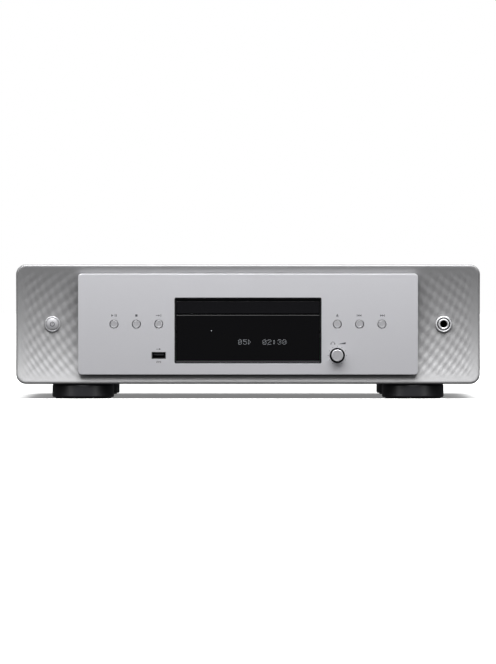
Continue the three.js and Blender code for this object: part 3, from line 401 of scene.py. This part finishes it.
def carve(piece, *shapes, operation="DIFFERENCE"):
    """Cuts shapes from a piece, or adds them, and keeps the result as the piece's mesh."""
    cutter = to_object("cutter", *shapes)
    modifier = piece.modifiers.new("carve", "BOOLEAN")
    modifier.object = cutter
    modifier.operation = operation
    modifier.solver = "EXACT"
    modifier.use_self = True
    bpy.context.view_layer.update()
    shaped = piece.evaluated_get(bpy.context.evaluated_depsgraph_get())
    mesh = bpy.data.meshes.new_from_object(shaped)
    piece.modifiers.clear()
    piece.data = mesh
    bpy.data.objects.remove(cutter)


def complete(piece, finish, body, replaces=(), edge_bevel=0.0):
    """The last steps of every piece: cut edges rounded, shading, finish and body."""
    bm = bmesh.new()
    bm.from_mesh(piece.data)
    bmesh.ops.remove_doubles(bm, verts=bm.verts, dist=1e-7)
    if edge_bevel:
        sharp = [e for e in bm.edges if len(e.link_faces) == 2 and e.calc_face_angle(0) > SHARP_ANGLE]
        bmesh.ops.bevel(
            bm, geom=sharp, offset=edge_bevel * MM, segments=2, profile=0.5, affect="EDGES",
            material=-1, clamp_overlap=True)
    for face in bm.faces:
        face.smooth = face.calc_area() < FLAT_AREA
    for edge in bm.edges:
        edge.smooth = len(edge.link_faces) == 2 and edge.calc_face_angle(0) < SHARP_ANGLE
    bm.to_mesh(piece.data)
    bm.free()
    piece.data.materials.clear()
    piece.data.materials.append(finishes[finish])
    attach(piece, body)
    if replaces:
        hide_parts(*replaces)
    print(piece.name, len(piece.data.polygons), "faces")
    return piece


def stand_in(node, *shapes, edge_bevel=0.0, cuts=(), finish=None):
    """A finely made piece in a frame node's place, with that node's body and, unless another is given, the
    finish of its slot.
    """
    piece = to_object("fine_" + node, *shapes)
    if cuts:
        carve(piece, *cuts)
    slot = slot_of[node]
    return complete(piece, finish or SLOT_FINISH[slot], body_of[node], (node,), edge_bevel)


print("piece helpers ready")

# %% [markdown]
# ## The moulded front
# The real front is one injection moulding: a wide panel that is dished from top to bottom, with
# a rounded edge, and with two families of curved ripples that cross on both wings, like waves
# meeting on water. Sculpting would never keep such a pattern regular, so the surface is a grid
# whose points are moved by a formula: dish, rounded edge and ripples are added up. The grid is
# fine on the wings and wide behind the plate, and its corners are bent onto the corner arcs.

# %% The shape of the front
RIM_FRONT = -192.5            # foremost line of the moulding
DISH_DEPTH = 8.0
EDGE_ROUND = 2.5
CORNER = 9.75
WALL_BACK = -181.5
SKIRT = 3.0
RIPPLE_DEPTH = 0.2            # trough to crest of each family
RIPPLES = (                   # centre of the rings, first ring, pitch and how the pitch closes up
    ((-230.9, -390.7), 607.3, 9.894, -0.1515),
    ((22.8, 155.3), 167.2, 7.053, -0.1386),
)
RIPPLE_FADE = (2.0, 16.0)     # from the outline: where the ripples begin and where they are full


def inset_from_outline(x, z):
    u = abs(x) - (HALF_WIDTH - CORNER)
    v = abs(z - MID_HEIGHT) - (HALF_HEIGHT - CORNER)
    return CORNER - math.hypot(max(u, 0), max(v, 0)) - min(max(u, v), 0)


def ripple(x, z):
    """Height of the crossing ripples at a point of a wing."""
    low, high = RIPPLE_FADE
    share = min(max((inset_from_outline(x, z) - low) / (high - low), 0), 1)
    waves = 0
    for (ring_x, ring_z), first, pitch, closing in RIPPLES:
        distance = math.hypot(abs(x) - ring_x, z - ring_z)
        count = (math.sqrt(pitch ** 2 + 4 * closing * (distance - first)) - pitch) / (2 * closing)
        waves += math.cos(2 * math.pi * count)
    return RIPPLE_DEPTH / 2 * waves * share * share * (3 - 2 * share)


def front_y(x, z):
    height = (z - MID_HEIGHT) / HALF_HEIGHT
    dish = RIM_FRONT + DISH_DEPTH * (1 - height * height)
    short = EDGE_ROUND - min(max(inset_from_outline(x, z), 0), EDGE_ROUND)
    fall = EDGE_ROUND - math.sqrt(max(EDGE_ROUND ** 2 - short ** 2, 0))
    wing = abs(x) > plate_high.x - 12
    return dish + fall - (ripple(x, z) if wing else 0)


print("dish", DISH_DEPTH, "mm deep, ripples", RIPPLE_DEPTH, "mm")

# %% The grid, its skirt and its back
EDGE_INSETS = (0, 0.1, 0.35, 0.75, 1.25, 1.85, EDGE_ROUND)
FINE_STEP = 0.9
WIDE_STEP = 12.0


def grid_lines(half, fine_from):
    """Places of the grid's lines: close at the edge, fine on the wings, wide in the middle."""
    edge = [half - inset for inset in EDGE_INSETS]
    fine = round((edge[-1] - fine_from) / FINE_STEP)
    side = edge + [edge[-1] + (fine_from - edge[-1]) * (i + 1) / fine for i in range(fine)]
    wide = round(2 * fine_from / WIDE_STEP)
    inner = [-fine_from + 2 * fine_from * (i + 1) / wide for i in range(wide - 1)]
    return sorted({round(place, 4) for place in side + inner + [-place for place in side]})


def bent_to_corner(x, z):
    """Moves a grid point near a corner onto the corner's arcs."""
    u = abs(x) - (HALF_WIDTH - CORNER)
    v = abs(z) - (HALF_HEIGHT - CORNER)
    if u <= 0 or v <= 0:
        return x, z
    share = max(u, v) / math.hypot(u, v)
    corner_x = HALF_WIDTH - CORNER + u * share
    corner_z = HALF_HEIGHT - CORNER + v * share
    return math.copysign(corner_x, x), math.copysign(corner_z, z)


columns = grid_lines(HALF_WIDTH, plate_high.x - 12)
rows = grid_lines(HALF_HEIGHT, 0)
front = bmesh.new()
bmesh.ops.create_grid(front, x_segments=len(columns) - 1, y_segments=len(rows) - 1, size=1)
for vert in front.verts:
    column = columns[round((vert.co.x + 1) / 2 * (len(columns) - 1))]
    row = rows[round((vert.co.y + 1) / 2 * (len(rows) - 1))]
    x, z = bent_to_corner(column, row)
    vert.co = (x, front_y(x, z + MID_HEIGHT), z + MID_HEIGHT)


def pull_rim(bm, back, shrink=1.0):
    """Extrudes the open rim to a new depth and draws it in towards the middle."""
    rim = [edge for edge in bm.edges if edge.is_boundary]
    made = bmesh.ops.extrude_edge_only(bm, edges=rim)["geom"]
    for vert in (item for item in made if isinstance(item, bmesh.types.BMVert)):
        vert.co.y = back
        vert.co.x *= 1 - (1 - shrink) * SKIRT / HALF_WIDTH
        vert.co.z = MID_HEIGHT + (vert.co.z - MID_HEIGHT) * (1 - (1 - shrink) * SKIRT / HALF_HEIGHT)


pull_rim(front, fascia_high.y)
pull_rim(front, fascia_high.y, shrink=0)
pull_rim(front, WALL_BACK)
bmesh.ops.edgeloop_fill(front, edges=[edge for edge in front.edges if edge.is_boundary])
print("grid", len(columns), "by", len(rows), "lines,", len(front.faces), "faces")

# %% Openings and the pad behind the plate
BUTTON_HOLE = 4.3
BUTTONS = (
    "play_pause_button", "stop_button", "input_button",
    "open_close_button", "skip_back_button", "skip_forward_button",
)
knob = middle("level_knob")
power = middle("power_button")
jack = middle("headphone_socket")
usb = middle("usb_socket")
THROUGH = (-200.0, -175.0)
PAD_INSET = 8.0
BEZEL_GAP = 0.3
KNOB_OPENING, POWER_OPENING, JACK_OPENING = 7.5, 7.75, 8.05   # radii
USB_OPENING = (7.1, 3.6)      # half its width and height

fascia = to_object("moulded_fascia", front)
carve(
    fascia, block((plate_low.x + PAD_INSET, plate_high.y + 0.3, plate_low.z + PAD_INSET),
                  (plate_high.x - PAD_INSET, WALL_BACK - 0.5, plate_high.z - PAD_INSET)), operation="UNION")
bezel_low, bezel_high = corners("window_bezel")
openings = [block(
    (bezel_low.x - BEZEL_GAP, THROUGH[0], bezel_low.z - BEZEL_GAP),
    (bezel_high.x + BEZEL_GAP, THROUGH[1], bezel_high.z + BEZEL_GAP))]
openings += [drum(BUTTON_HOLE, *THROUGH, "y", middle(node), 32) for node in BUTTONS]
openings.append(drum(KNOB_OPENING, *THROUGH, "y", knob))
openings.append(block(
    (usb.x - USB_OPENING[0], THROUGH[0], usb.z - USB_OPENING[1]),
    (usb.x + USB_OPENING[0], THROUGH[1], usb.z + USB_OPENING[1])))
openings.append(drum(POWER_OPENING, *THROUGH, "y", power))
openings.append(drum(JACK_OPENING, *THROUGH, "y", (jack.x, 0, MID_HEIGHT)))
carve(fascia, *openings)
complete(fascia, "silver_lacquer", "case", ("front_fascia",))

# %% [markdown]
# ## The control plate
# The plate is cut from 4 mm aluminium with a small bright chamfer, and it floats in front of
# the dish, which gives the thin shadow all round it. A rounded block with a bevelled rim is the
# whole shape; the holes are drilled as on a milling machine, by cutting round bars out of it,
# and the bevel of the cut edges is what catches the light.

# %% Plate and holes
window_low = Vector((-70, 0, 33.6))
window_high = Vector((70, 0, 96.4))
PLATE_CUT = (-200.0, -188.0)  # from in front of the plate to behind it
KNOB_HOLE = 7.3
USB_HALF = (6.8, 3.3)         # half the USB cut's width and height
plate_cuts = [rounded_block(
    (window_low.x, PLATE_CUT[0], window_low.z), (window_high.x, PLATE_CUT[1], window_high.z), 1.5, "y")]
plate_cuts += [drum(BUTTON_HOLE, *PLATE_CUT, "y", middle(node), 64) for node in BUTTONS]
plate_cuts.append(drum(KNOB_HOLE, *PLATE_CUT, "y", knob, 80))
plate_cuts.append(rounded_block(
    (usb.x - USB_HALF[0], PLATE_CUT[0], usb.z - USB_HALF[1]),
    (usb.x + USB_HALF[0], PLATE_CUT[1], usb.z + USB_HALF[1]), 0.5, "y", steps=3))
stand_in("front_plate", rounded_block(plate_low, plate_high, 3.5, "y", rim=0.35, steps=10),
         cuts=plate_cuts, edge_bevel=0.05)

# %% [markdown]
# The window is one black moulding: a sloping reveal runs down to the display lens and the tray
# door, which share it with only a dark line between them. Their shapes in the frame are right,
# copies get finely rounded edges, because a perfectly sharp edge never catches light. Foam
# strips behind the door's gap keep light out of the loader, above and below the tray's path.

# %% Window, lens and tray door
stand_in("window_bezel", node_copy("window_bezel"), edge_bevel=0.12, finish="satin_black_abs")
stand_in("display_lens", node_copy("display_lens"), edge_bevel=0.18)
stand_in("tray_door", node_copy("tray_door"), edge_bevel=0.3)
for name, z_low, z_high in (("light_seal_top", 92.3, 95), ("light_seal_bottom", 78.4, 80.9)):
    complete(to_object(name, block((-69, -182.9, z_low), (69, -181.4, z_high), 0.3)),
             "seal_foam", "case")

# %% [markdown]
# ## The display
# The display is a dot matrix: every figure is five dots wide and seven high. A lit dot is a
# tiny block just proud of the lens. The figures are written as rows of text, so that they can be
# read and changed here; they show a track number and a time.

# %% Dot-matrix figures
FIGURES = {
    "0": ("01110", "10001", "10011", "10101", "11001", "10001", "01110"),
    "2": ("01110", "10001", "00001", "00110", "01000", "10000", "11111"),
    "3": ("01110", "10001", "00001", "00110", "00001", "10001", "01110"),
    "5": ("11111", "10000", "11110", "00001", "00001", "10001", "01110"),
    ":": ("00000", "01100", "01100", "00000", "01100", "01100", "00000"),
    ">": ("10000", "11000", "10100", "10010", "10100", "11000", "10000"),
}
DOT_PITCH = Vector((0.74, 0, 0.72))
DOT = 0.36
FIGURE_PITCH = 4.75
FIGURE_BOTTOM = 51.7
lens_low = corners("display_lens")[0]


def lit_dot(x, z, size=DOT):
    return block((x, lens_low.y - 0.04, z), (x + size, lens_low.y + 0.04, z + size))


def figures(text, left):
    """Dots of a line of figures that starts at left."""
    dots = []
    for place, character in enumerate(text):
        for row, line in enumerate(reversed(FIGURES[character])):
            x, z = left + place * FIGURE_PITCH, FIGURE_BOTTOM + row * DOT_PITCH.z
            dots += [lit_dot(x + column * DOT_PITCH.x, z)
                     for column, mark in enumerate(line) if mark == "1"]
    return dots


complete(
    to_object("display_figures", *figures("05>", -9.3), *figures("02:30", 14), lit_dot(-35.2, 64.5, 0.75)),
    "display_light", "case")

# %% [markdown]
# ## Buttons, knob and rings
# All round controls are turned parts, so each one is a profile spun round its axis: a cap with
# a chamfered edge and a shallow step, the guide behind it and the stem that reaches the switch.
# The caps stand almost flush, and the dark gap round each is what shows them.

# %% Six buttons
CAP_RADIUS = 3.62
for node in BUTTONS:
    low, high = corners(node)
    cap = low.y
    stand_in(node, turned([
        (0, cap + 0.1), (2.4, cap + 0.1), (2.5, cap), (3.4, cap), (CAP_RADIUS, cap + 0.22),
        (CAP_RADIUS, -181.1), (5.8, -181.1), (5.8, -179.9), (1.6, -179.9), (1.6, high.y), (0, high.y),
    ], "y", middle(node), 48))

# %% Power button and its ring
low, high = corners("power_button")
cap = low.y
stand_in("power_button", turned([
    (0, cap), (5.2, cap), (5.5, cap + 0.12), (5.7, cap + 0.4), (5.7, -178.9),
    (7, -178.9), (7, -177.7), (1.6, -177.7), (1.6, high.y), (0, high.y),
], "y", power, 64))
ring_low, ring_high = corners("power_button_ring")
ring_front = ring_low.y
stand_in("power_button_ring", turned([
    (6, ring_front + 0.5), (6.15, ring_front + 0.15), (6.45, ring_front), (6.9, ring_front),
    (7.25, ring_front + 0.15), (7.45, ring_front + 0.6), (7.45, WALL_BACK + 0.3), (9.5, WALL_BACK + 0.3),
    (9.5, ring_high.y), (6, ring_high.y), (6, ring_front + 0.5),
], "y", power, 80), finish="turned_anodised_aluminium")

# %% Level knob
KNOB_TICKS = range(-150, 151, 30)   # degrees, over the knob's range
TICK_RADIUS = 8.7
low, high = corners("level_knob")
face = low.y
stand_in("level_knob", turned([
    (0, face + 0.08), (4.6, face + 0.08), (4.7, face), (5.15, face), (5.4, face + 0.12), (5.55, face + 0.4),
    (5.6, -197), (5.6, high.y - 0.3), (5.3, high.y), (3.1, high.y), (3.1, -200.3), (0, -200.3),
], "y", knob, 80))

# %% [markdown]
# The headphone socket shows three rings: a plated trim, a dark groove and the bright lip of the
# jack round its black bore. The bore is really open, so the trim is a tube and not a disc.

# %% Headphone socket
JACK_BORE = 3.25
trim_front = corners("headphone_socket")[0].y
centre = (jack.x, 0, MID_HEIGHT)
stand_in(
    "headphone_socket",
    turned([
        (JACK_BORE, trim_front + 1), (3.9, trim_front + 1), (3.9, -176), (7.2, -176), (7.2, -181),
        (8.5, -181), (8.5, -150), (JACK_BORE, -150), (JACK_BORE, trim_front + 1),
    ], "y", centre, 64))
complete(to_object("headphone_trim", turned([
    (6.1, trim_front + 1.6), (6.25, trim_front + 0.5), (6.6, trim_front + 0.15), (7.1, trim_front + 0.1),
    (7.5, trim_front + 0.3), (7.75, trim_front + 0.8), (7.75, -176.2), (7.3, -176.2), (7.3, -181),
    (6.1, -181), (6.1, trim_front + 1.6),
], "y", centre, 80)), "turned_bright", "case")
complete(to_object("jack_lip", turned([
    (3.5, trim_front + 0.6), (3.8, trim_front + 0.25), (4.1, trim_front + 0.15), (4.6, trim_front + 0.2),
    (4.9, trim_front + 0.35), (5.15, trim_front + 0.8), (5.15, -182), (3.95, -182), (3.95, trim_front + 1),
    (3.5, trim_front + 1), (3.5, trim_front + 0.6),
], "y", centre, 64)), "turned_bright", "case")

# %% USB socket
USB_WALL = 0.45
usb_low, usb_high = corners("usb_socket")
usb_wall = Vector((USB_WALL, 0, USB_WALL))
inner_low, inner_high = usb_low + usb_wall, usb_high - usb_wall
stand_in("usb_socket", block(usb_low, usb_high), edge_bevel=0.06, finish="dark_nickel",
         cuts=[block((inner_low.x, -200, inner_low.z), (inner_high.x, -178, inner_high.z))])
# A thin black sleeve inside the shell is painted shade: the real shell is bare metal inside and only looks
# dark because little light gets in. Its back wall stands for the socket's real insulator body.
SHADE_LINING_WALL = 0.1
shade_lining = to_object("usb_painted_shade_lining", block(
    (inner_low.x, usb_low.y + 0.5, inner_low.z), (inner_high.x, -178.1, inner_high.z)))
carve(shade_lining, block(
    (inner_low.x + SHADE_LINING_WALL, -200, inner_low.z + SHADE_LINING_WALL),
    (inner_high.x - SHADE_LINING_WALL, -179, inner_high.z - SHADE_LINING_WALL)))
complete(shade_lining, "moulded_black", "case")
complete(to_object("usb_tongue", block(
    (usb.x - 4.9, -192.5, usb.z + 0.3), (usb.x + 4.9, -178.5, usb.z + 1.7), 0.12)),
         "grey_polymer", "case")
print("USB opening", round(usb_high.x - usb_low.x, 1), "by", round(usb_high.z - usb_low.z, 1), "mm")

# %% [markdown]
# ## Printed marks
# The real plate carries small printed marks. Plain transport and port symbols say the same
# without a word. Each one is a few outlines in a table, filled and raised by the thickness of
# screen ink, so that the marks are real shapes and stay sharp from near by.

# %% Symbols
INK = 0.03
MARK_Z = 79.3                 # centre of the marks above the buttons


def bar(x, z, width, height):
    """Corners of an upright rectangle round a centre."""
    x0, x1, z0, z1 = x - width / 2, x + width / 2, z - height / 2, z + height / 2
    return [(x0, z0), (x1, z0), (x1, z1), (x0, z1)]


def arrow(x, z, size, turn=0):
    """Corners of a triangle that points right, turned anticlockwise by turn degrees."""
    angles = [math.radians(turn + corner) for corner in (0, 120, 240)]
    return [(x + size * math.cos(angle), z + size * math.sin(angle)) for angle in angles]


def inked(outline, surface, x=0, z=0):
    """An outline filled and raised from a surface by the thickness of ink."""
    bm = bmesh.new()
    face = bm.faces.new([bm.verts.new((x + u, surface + INK, z + w)) for u, w in outline])
    made = bmesh.ops.extrude_face_region(bm, geom=[face])["geom"]
    raised = [item for item in made if isinstance(item, bmesh.types.BMVert)]
    bmesh.ops.translate(bm, vec=(0, -2 * INK, 0), verts=raised)
    return bm


SYMBOLS = {
    "play_pause_button": (arrow(-1.9, 0, 1.35), bar(1, 0, 0.6, 2.3), bar(2.2, 0, 0.6, 2.3)),
    "stop_button": (bar(0, 0, 2.2, 2.2),),
    "input_button": (bar(-1.6, 0, 2.2, 0.45), arrow(0.2, 0, 1), bar(2.1, 0, 0.5, 2.5)),
    "open_close_button": (arrow(0, 0.3, 1.35, 90), bar(0, -1.1, 2.4, 0.5)),
    "skip_back_button": (bar(-2.4, 0, 0.5, 2.2), arrow(-0.8, 0, 1.2, 180), arrow(1.1, 0, 1.2, 180)),
    "skip_forward_button": (bar(2.4, 0, 0.5, 2.2), arrow(0.8, 0, 1.2), arrow(-1.1, 0, 1.2)),
}
PORT_MARK = (bar(-1.2, 0, 2.6, 0.4), arrow(0.9, 0, 1.1))
DIRECT_CURRENT = (bar(0, 0.7, 4.6, 0.45), *[bar(x, -0.5, 1.2, 0.45) for x in (-1.7, 0, 1.7)])
LEVEL_WEDGE = ([(0.4, -0.9), (8, -0.9), (8, 1)],)
BAND = [(radius * math.cos(angle) - 4.2, radius * math.sin(angle) - 0.4) for radius, turns in
        ((1.9, range(0, 7)), (1.45, range(6, -1, -1))) for angle in [math.pi * turn / 6 for turn in turns]]
HEADPHONES = (BAND, bar(-6, -0.6, 0.8, 1.3), bar(-2.4, -0.6, 0.8, 1.3))
surface = plate_low.y
placed = [(shapes, middle(node).x, MARK_Z) for node, shapes in SYMBOLS.items()]
ABOVE_USB, BELOW_USB, ABOVE_KNOB = 6.1, 6.2, 11.6
placed += [
    (PORT_MARK, usb.x, usb.z + ABOVE_USB), (DIRECT_CURRENT, usb.x, usb.z - BELOW_USB),
    (LEVEL_WEDGE + HEADPHONES, knob.x, knob.z + ABOVE_KNOB)]
marks = [inked(outline, surface, x, z) for shapes, x, z in placed for outline in shapes]
for angle in map(math.radians, KNOB_TICKS):
    x, z = knob.x + TICK_RADIUS * math.sin(angle), knob.z + TICK_RADIUS * math.cos(angle)
    marks.append(inked(bar(0, 0, 0.6, 0.6), surface, x, z))
complete(to_object("printed_symbols", *marks), "screen_print", "case")

# %% Power symbol and knob pointer
power_front = corners("power_button")[0].y
rim = power_front + INK
symbol = to_object("power_symbol", turned([
    (1.6, rim), (1.6, power_front - INK), (2.3, power_front - INK), (2.3, rim), (1.6, rim),
], "y", power, 40))
carve(symbol, block(
    (power.x - 0.75, power_front - 1, power.z), (power.x + 0.75, power_front + 1, power.z + 3)))
complete(symbol, "screen_print", "power")
complete(to_object("power_stroke", inked(bar(0, 1.5, 0.6, 2.2), power_front, power.x, power.z)),
         "screen_print", "power")

# %% [markdown]
# ## Feet
# Four round feet of gloss black moulding stand on rubber pads. They are turned shapes with a
# tight round at the top and at the bottom, and the pad is set a little in.

# %% Feet and pads
for place in ("front_left", "front_right", "rear_left", "rear_right"):
    node = "foot_" + place
    low, high = corners(node)
    radius = (high.x - low.x) / 2
    top = high.z
    stand_in(node, turned([
        (0, 7), (7, 7), (7, 1.1), (radius - 1.6, 1.1), (radius - 0.9, 1.3), (radius - 0.35, 1.7),
        (radius - 0.05, 2.2), (radius, 2.7), (radius, top - 1.4), (radius - 0.3, top - 0.6),
        (radius - 1, top), (0, top),
    ], "z", middle(node), 96))
    complete(to_object("pad_" + place, turned([
        (8, 0), (radius - 3.4, 0), (radius - 2.9, 0.3), (radius - 2.8, 1.1), (8, 1.1), (8, 0),
    ], "z", middle(node), 72)), "foot_pad_rubber", "case")

# %% [markdown]
# ## Case and screws
# The wrap is one folded sheet with wide bends, which keeps its corners behind the front's round
# ones, and its lower edges are rolled in under the pan. It is a rounded bar with a smaller one
# taken out of it. Pan and back keep their frame shapes, trimmed to lie inside the bends. Screws
# hold them: one pan head is modelled with its cross recess and copied to every place.

# %% Wrap, pan and back
CASE_BEND = 8.75
SHEET = 1.2
INSIDE_CASE = ((-218.7, -175, 13.9), (218.7, 191, 126.2), 8, "y")
cover_low, cover_high = corners("top_cover")
wall = Vector((SHEET, -1, SHEET))
stand_in(
    "top_cover", rounded_block(cover_low, cover_high, CASE_BEND, "y", steps=10), edge_bevel=0.2,
    cuts=[rounded_block(cover_low + wall, cover_high - wall, CASE_BEND - SHEET, "y", steps=10),
          block((-211.2, cover_low.y - 1, cover_low.z - 2), (211.2, cover_high.y + 1, cover_low.z + 2))])
for node, bevel in (("bottom_chassis", 0.1), ("rear_panel", 0.12)):
    sheet_part = to_object("fine_" + node, node_copy(node))
    carve(sheet_part, rounded_block(*INSIDE_CASE), operation="INTERSECT")
    complete(sheet_part, SLOT_FINISH[slot_of[node]], body_of[node], (node,), bevel)

# %% [markdown]
# The phono sockets are turned brass with gold on them: a barrel round an insulator, white for
# the left channel and the digital output and red for the right, open in the middle. Each
# optical socket is a frame with a shutter a little inside it.

# %% Rear sockets
panel_back = corners("rear_panel")[1].y
analog_low, analog_high = corners("analog_out_sockets")
digital_low, digital_high = corners("digital_sockets")
SOCKET_HEIGHT = (analog_low.z + analog_high.z) / 2
BODY_BACK = 187.9             # the moulded bodies end just inside the panel
PHONO_TIP = analog_high.y
right_channel, left_channel, coaxial = analog_low.x + 9, analog_high.x - 9, digital_high.x - 9
optical = (digital_low.x + 8, digital_low.x + 26)


def phono_barrel(x):
    """The gold outside of one phono socket, open in the middle."""
    return turned([
        (3.1, panel_back + 0.3), (3.1, PHONO_TIP - 0.3), (3.4, PHONO_TIP), (3.9, PHONO_TIP),
        (4.15, PHONO_TIP - 0.3),
        (4.15, panel_back + 1.9), (5.9, panel_back + 1.9), (6.2, panel_back + 1.6), (6.2, panel_back + 0.3),
        (3.1, panel_back + 0.3)], "y", (x, 0, SOCKET_HEIGHT), 40)


def phono_insulator(x):
    """The insulator tube inside the barrel, open in the middle."""
    return turned([
        (1.7, PHONO_TIP - 2.6), (3.05, PHONO_TIP - 2.6), (3.05, panel_back + 0.4), (1.7, panel_back + 0.4),
        (1.7, PHONO_TIP - 2.6)], "y", (x, 0, SOCKET_HEIGHT), 32)


FRAME_HALF, MOUTH_HALF, SHUTTER_HALF = 4.8, 3.3, 3.2   # half sizes of the optical sockets' squares


def square(x, half, front, back, *bevel):
    """A block with a square end, at the height of the sockets."""
    return block(
        (x - half, front, SOCKET_HEIGHT - half), (x + half, back, SOCKET_HEIGHT + half), *bevel)


for node, low, high in (("analog_out_sockets", analog_low, analog_high),
                        ("digital_sockets", digital_low, digital_high)):
    stand_in(node, block(low, (high.x, BODY_BACK, high.z), 0.4), finish="moulded_black")
complete(to_object("phono_barrels", *[phono_barrel(x) for x in (right_channel, left_channel, coaxial)]),
         "gold_plating", "case")
complete(to_object("phono_insulators_white", phono_insulator(left_channel), phono_insulator(coaxial)),
         "white_insulator", "case")
complete(to_object("phono_insulator_red", phono_insulator(right_channel)),
         "red_insulator", "case")
for number, x in enumerate(optical, 1):
    frame_piece = to_object(f"optical_frame_{number}", square(x, FRAME_HALF, 182, panel_back + 0.9, 0.35))
    carve(frame_piece, square(x, MOUTH_HALF, panel_back - 2, panel_back + 3))
    complete(frame_piece, "moulded_black", "case")
    shutter = square(x, SHUTTER_HALF, panel_back - 1.2, panel_back - 0.6, 0.2)
    complete(to_object(f"optical_shutter_{number}", shutter), "grey_polymer", "case")

# %% Screws
SCREW = 3.0                   # head radius
SIDE_SCREW_HEIGHT = 26


def screw_head():
    """A pan head that faces +Z, with a cross recess."""
    head = to_object("head", turned([
        (0, -0.4), (SCREW, -0.4), (SCREW, 0.7), (SCREW * 0.85, 1.3), (SCREW * 0.55, 1.6), (0, 1.7),
    ], "z", (0, 0, 0), 20))
    slot = 0.35
    carve(head, block((-1.7, -slot, 0.7), (1.7, slot, 3)), block((-slot, -1.7, 0.7), (slot, 1.7, 3)))
    mesh = head.data
    bpy.data.objects.remove(head)
    return mesh


def placed_screws(name, places, turn, finish, body="case"):
    """Copies of the screw head, turned to face one way, at points in millimetres."""
    bm = bmesh.new()
    for point in places:
        before = set(bm.verts)
        bm.from_mesh(head_mesh)
        fresh = [vert for vert in bm.verts if vert not in before]
        bmesh.ops.transform(bm, matrix=Matrix.Translation(Vector(point) * MM) @ turn, verts=fresh)
    bmesh.ops.scale(bm, vec=(1 / MM, 1 / MM, 1 / MM), verts=bm.verts)
    return complete(to_object(name, bm), finish, body)


head_mesh = screw_head()
panel_high = corners("rear_panel")[1]
side_turn = {1: Matrix.Rotation(math.pi / 2, 4, "Y"), -1: Matrix.Rotation(-math.pi / 2, 4, "Y")}
back_turn = Matrix.Rotation(-math.pi / 2, 4, "X")
for side, name in ((1, "right"), (-1, "left")):
    edge = cover_high.x if side > 0 else cover_low.x
    edge -= side * 1.4
    side_places = [(edge, y, SIDE_SCREW_HEIGHT) for y in (-120, 150)]
    placed_screws("screws_side_" + name, side_places, side_turn[side], "zinc_sheet")
back_places = [(x, panel_high.y, z) for x in (-208, 208) for z in (24, 116)]
back_places += [(x, panel_high.y, 119) for x in (-70, 70)]
back_places += [(x, panel_high.y, 24) for x in (-70, 0, 70)]
back_places += [(161, panel_high.y, 66), (103, panel_high.y, 64), (33, panel_high.y, 62)]
placed_screws("screws_back", back_places, back_turn, "zinc_sheet")

# %% [markdown]
# ## Floor and light
# The set is white: a pale floor, a white world behind and large soft lights. What
# the camera sees of the world is plain white, while the metal is lit by a gradient that is
# bright above and dim below, because a dished silver surface is only read by what it reflects.

# %% Floor
floor_shape = bmesh.new()
bmesh.ops.create_grid(floor_shape, x_segments=1, y_segments=1, size=30)
floor_mesh = bpy.data.meshes.new("floor")
floor_shape.to_mesh(floor_mesh)
floor_shape.free()
floor = bpy.data.objects.new("floor", floor_mesh)
bpy.context.scene.collection.objects.link(floor)
tree, shader = start_finish("studio_floor", "eeeeee", 0.9, Emission_Strength=0.2)
shader.inputs["Emission Color"].default_value = linear("ffffff")
grain(tree, shader, 3.0, 0.01)
floor_mesh.materials.append(finishes["studio_floor"])
floor.visible_glossy = False
floor.visible_diffuse = False

# %% World and lamps
world = bpy.data.worlds.new("studio")
bpy.context.scene.world = world
world.use_nodes = True
tree = world.node_tree
tree.nodes.clear()
direction = add_node(tree, "ShaderNodeTexCoord").outputs["Generated"]
upward = add_node(tree, "ShaderNodeSeparateXYZ", {"Vector": direction}).outputs["Z"]
raised = add_node(tree, "ShaderNodeMapRange", {"Value": upward, "From Min": -1.0, "From Max": 1.0})
sky = add_node(tree, "ShaderNodeValToRGB", {"Fac": raised.outputs["Result"]})
HORIZON = 0.5
sky.color_ramp.elements[0].position = 0.3
sky.color_ramp.elements[0].color = linear("404042")
sky.color_ramp.elements[1].position = 0.95
sky.color_ramp.elements[1].color = linear("ffffff")
for position, colour in ((HORIZON - 0.03, "48484a"), (HORIZON + 0.04, "505052"),
                         (0.66, "868686"), (0.8, "b0b0b0")):
    sky.color_ramp.elements.new(position).color = linear(colour)
lit = add_node(tree, "ShaderNodeBackground", {"Color": sky.outputs["Color"], "Strength": 1.0})
seen = add_node(tree, "ShaderNodeBackground", {"Color": linear("ffffff"), "Strength": 1.0})
ray = add_node(tree, "ShaderNodeLightPath").outputs["Is Camera Ray"]
mixed = add_node(tree, "ShaderNodeMixShader", {
    "Fac": ray, 1: lit.outputs["Background"], 2: seen.outputs["Background"]})
add_node(tree, "ShaderNodeOutputWorld", {"Surface": mixed.outputs["Shader"]})


def lamp(name, kind, place, aim, power, **settings):
    """A lamp at place that shines at aim; a sun only takes its direction from them."""
    data = bpy.data.lights.new(name, kind)
    data.energy = power
    for setting, value in settings.items():
        setattr(data, setting, value)
    holder = bpy.data.objects.new(name, data)
    holder.location = place
    holder.rotation_euler = (Vector(aim) - Vector(place)).to_track_quat("-Z", "Y").to_euler()
    bpy.context.scene.collection.objects.link(holder)


lamp("key", "SUN", (-0.1, -1.0, 1.6), (0, 0, 0), 3.1, angle=math.radians(55))
lamp("softbox", "AREA", (0, -0.45, 0.45), (0, -0.19, 0.07), 4.6, shape="RECTANGLE", size=0.9, size_y=0.25)
lamp("left_strip", "AREA", (-1.6, -1.5, 0.5), (0, -0.2, 0.07), 5, shape="RECTANGLE", size=0.35, size_y=1.0)
lamp("right_strip", "AREA", (1.5, -1.6, 0.5), (0, -0.2, 0.07), 5, shape="RECTANGLE", size=0.35, size_y=1.0)
lamp("back_fill", "AREA", (0.5, 2.2, 0.8), (0, 0.2, 0.06), 22, shape="RECTANGLE", size=1.6, size_y=1.0)
bpy.context.scene.view_settings.view_transform = "Standard"
print("world and lamps ready")
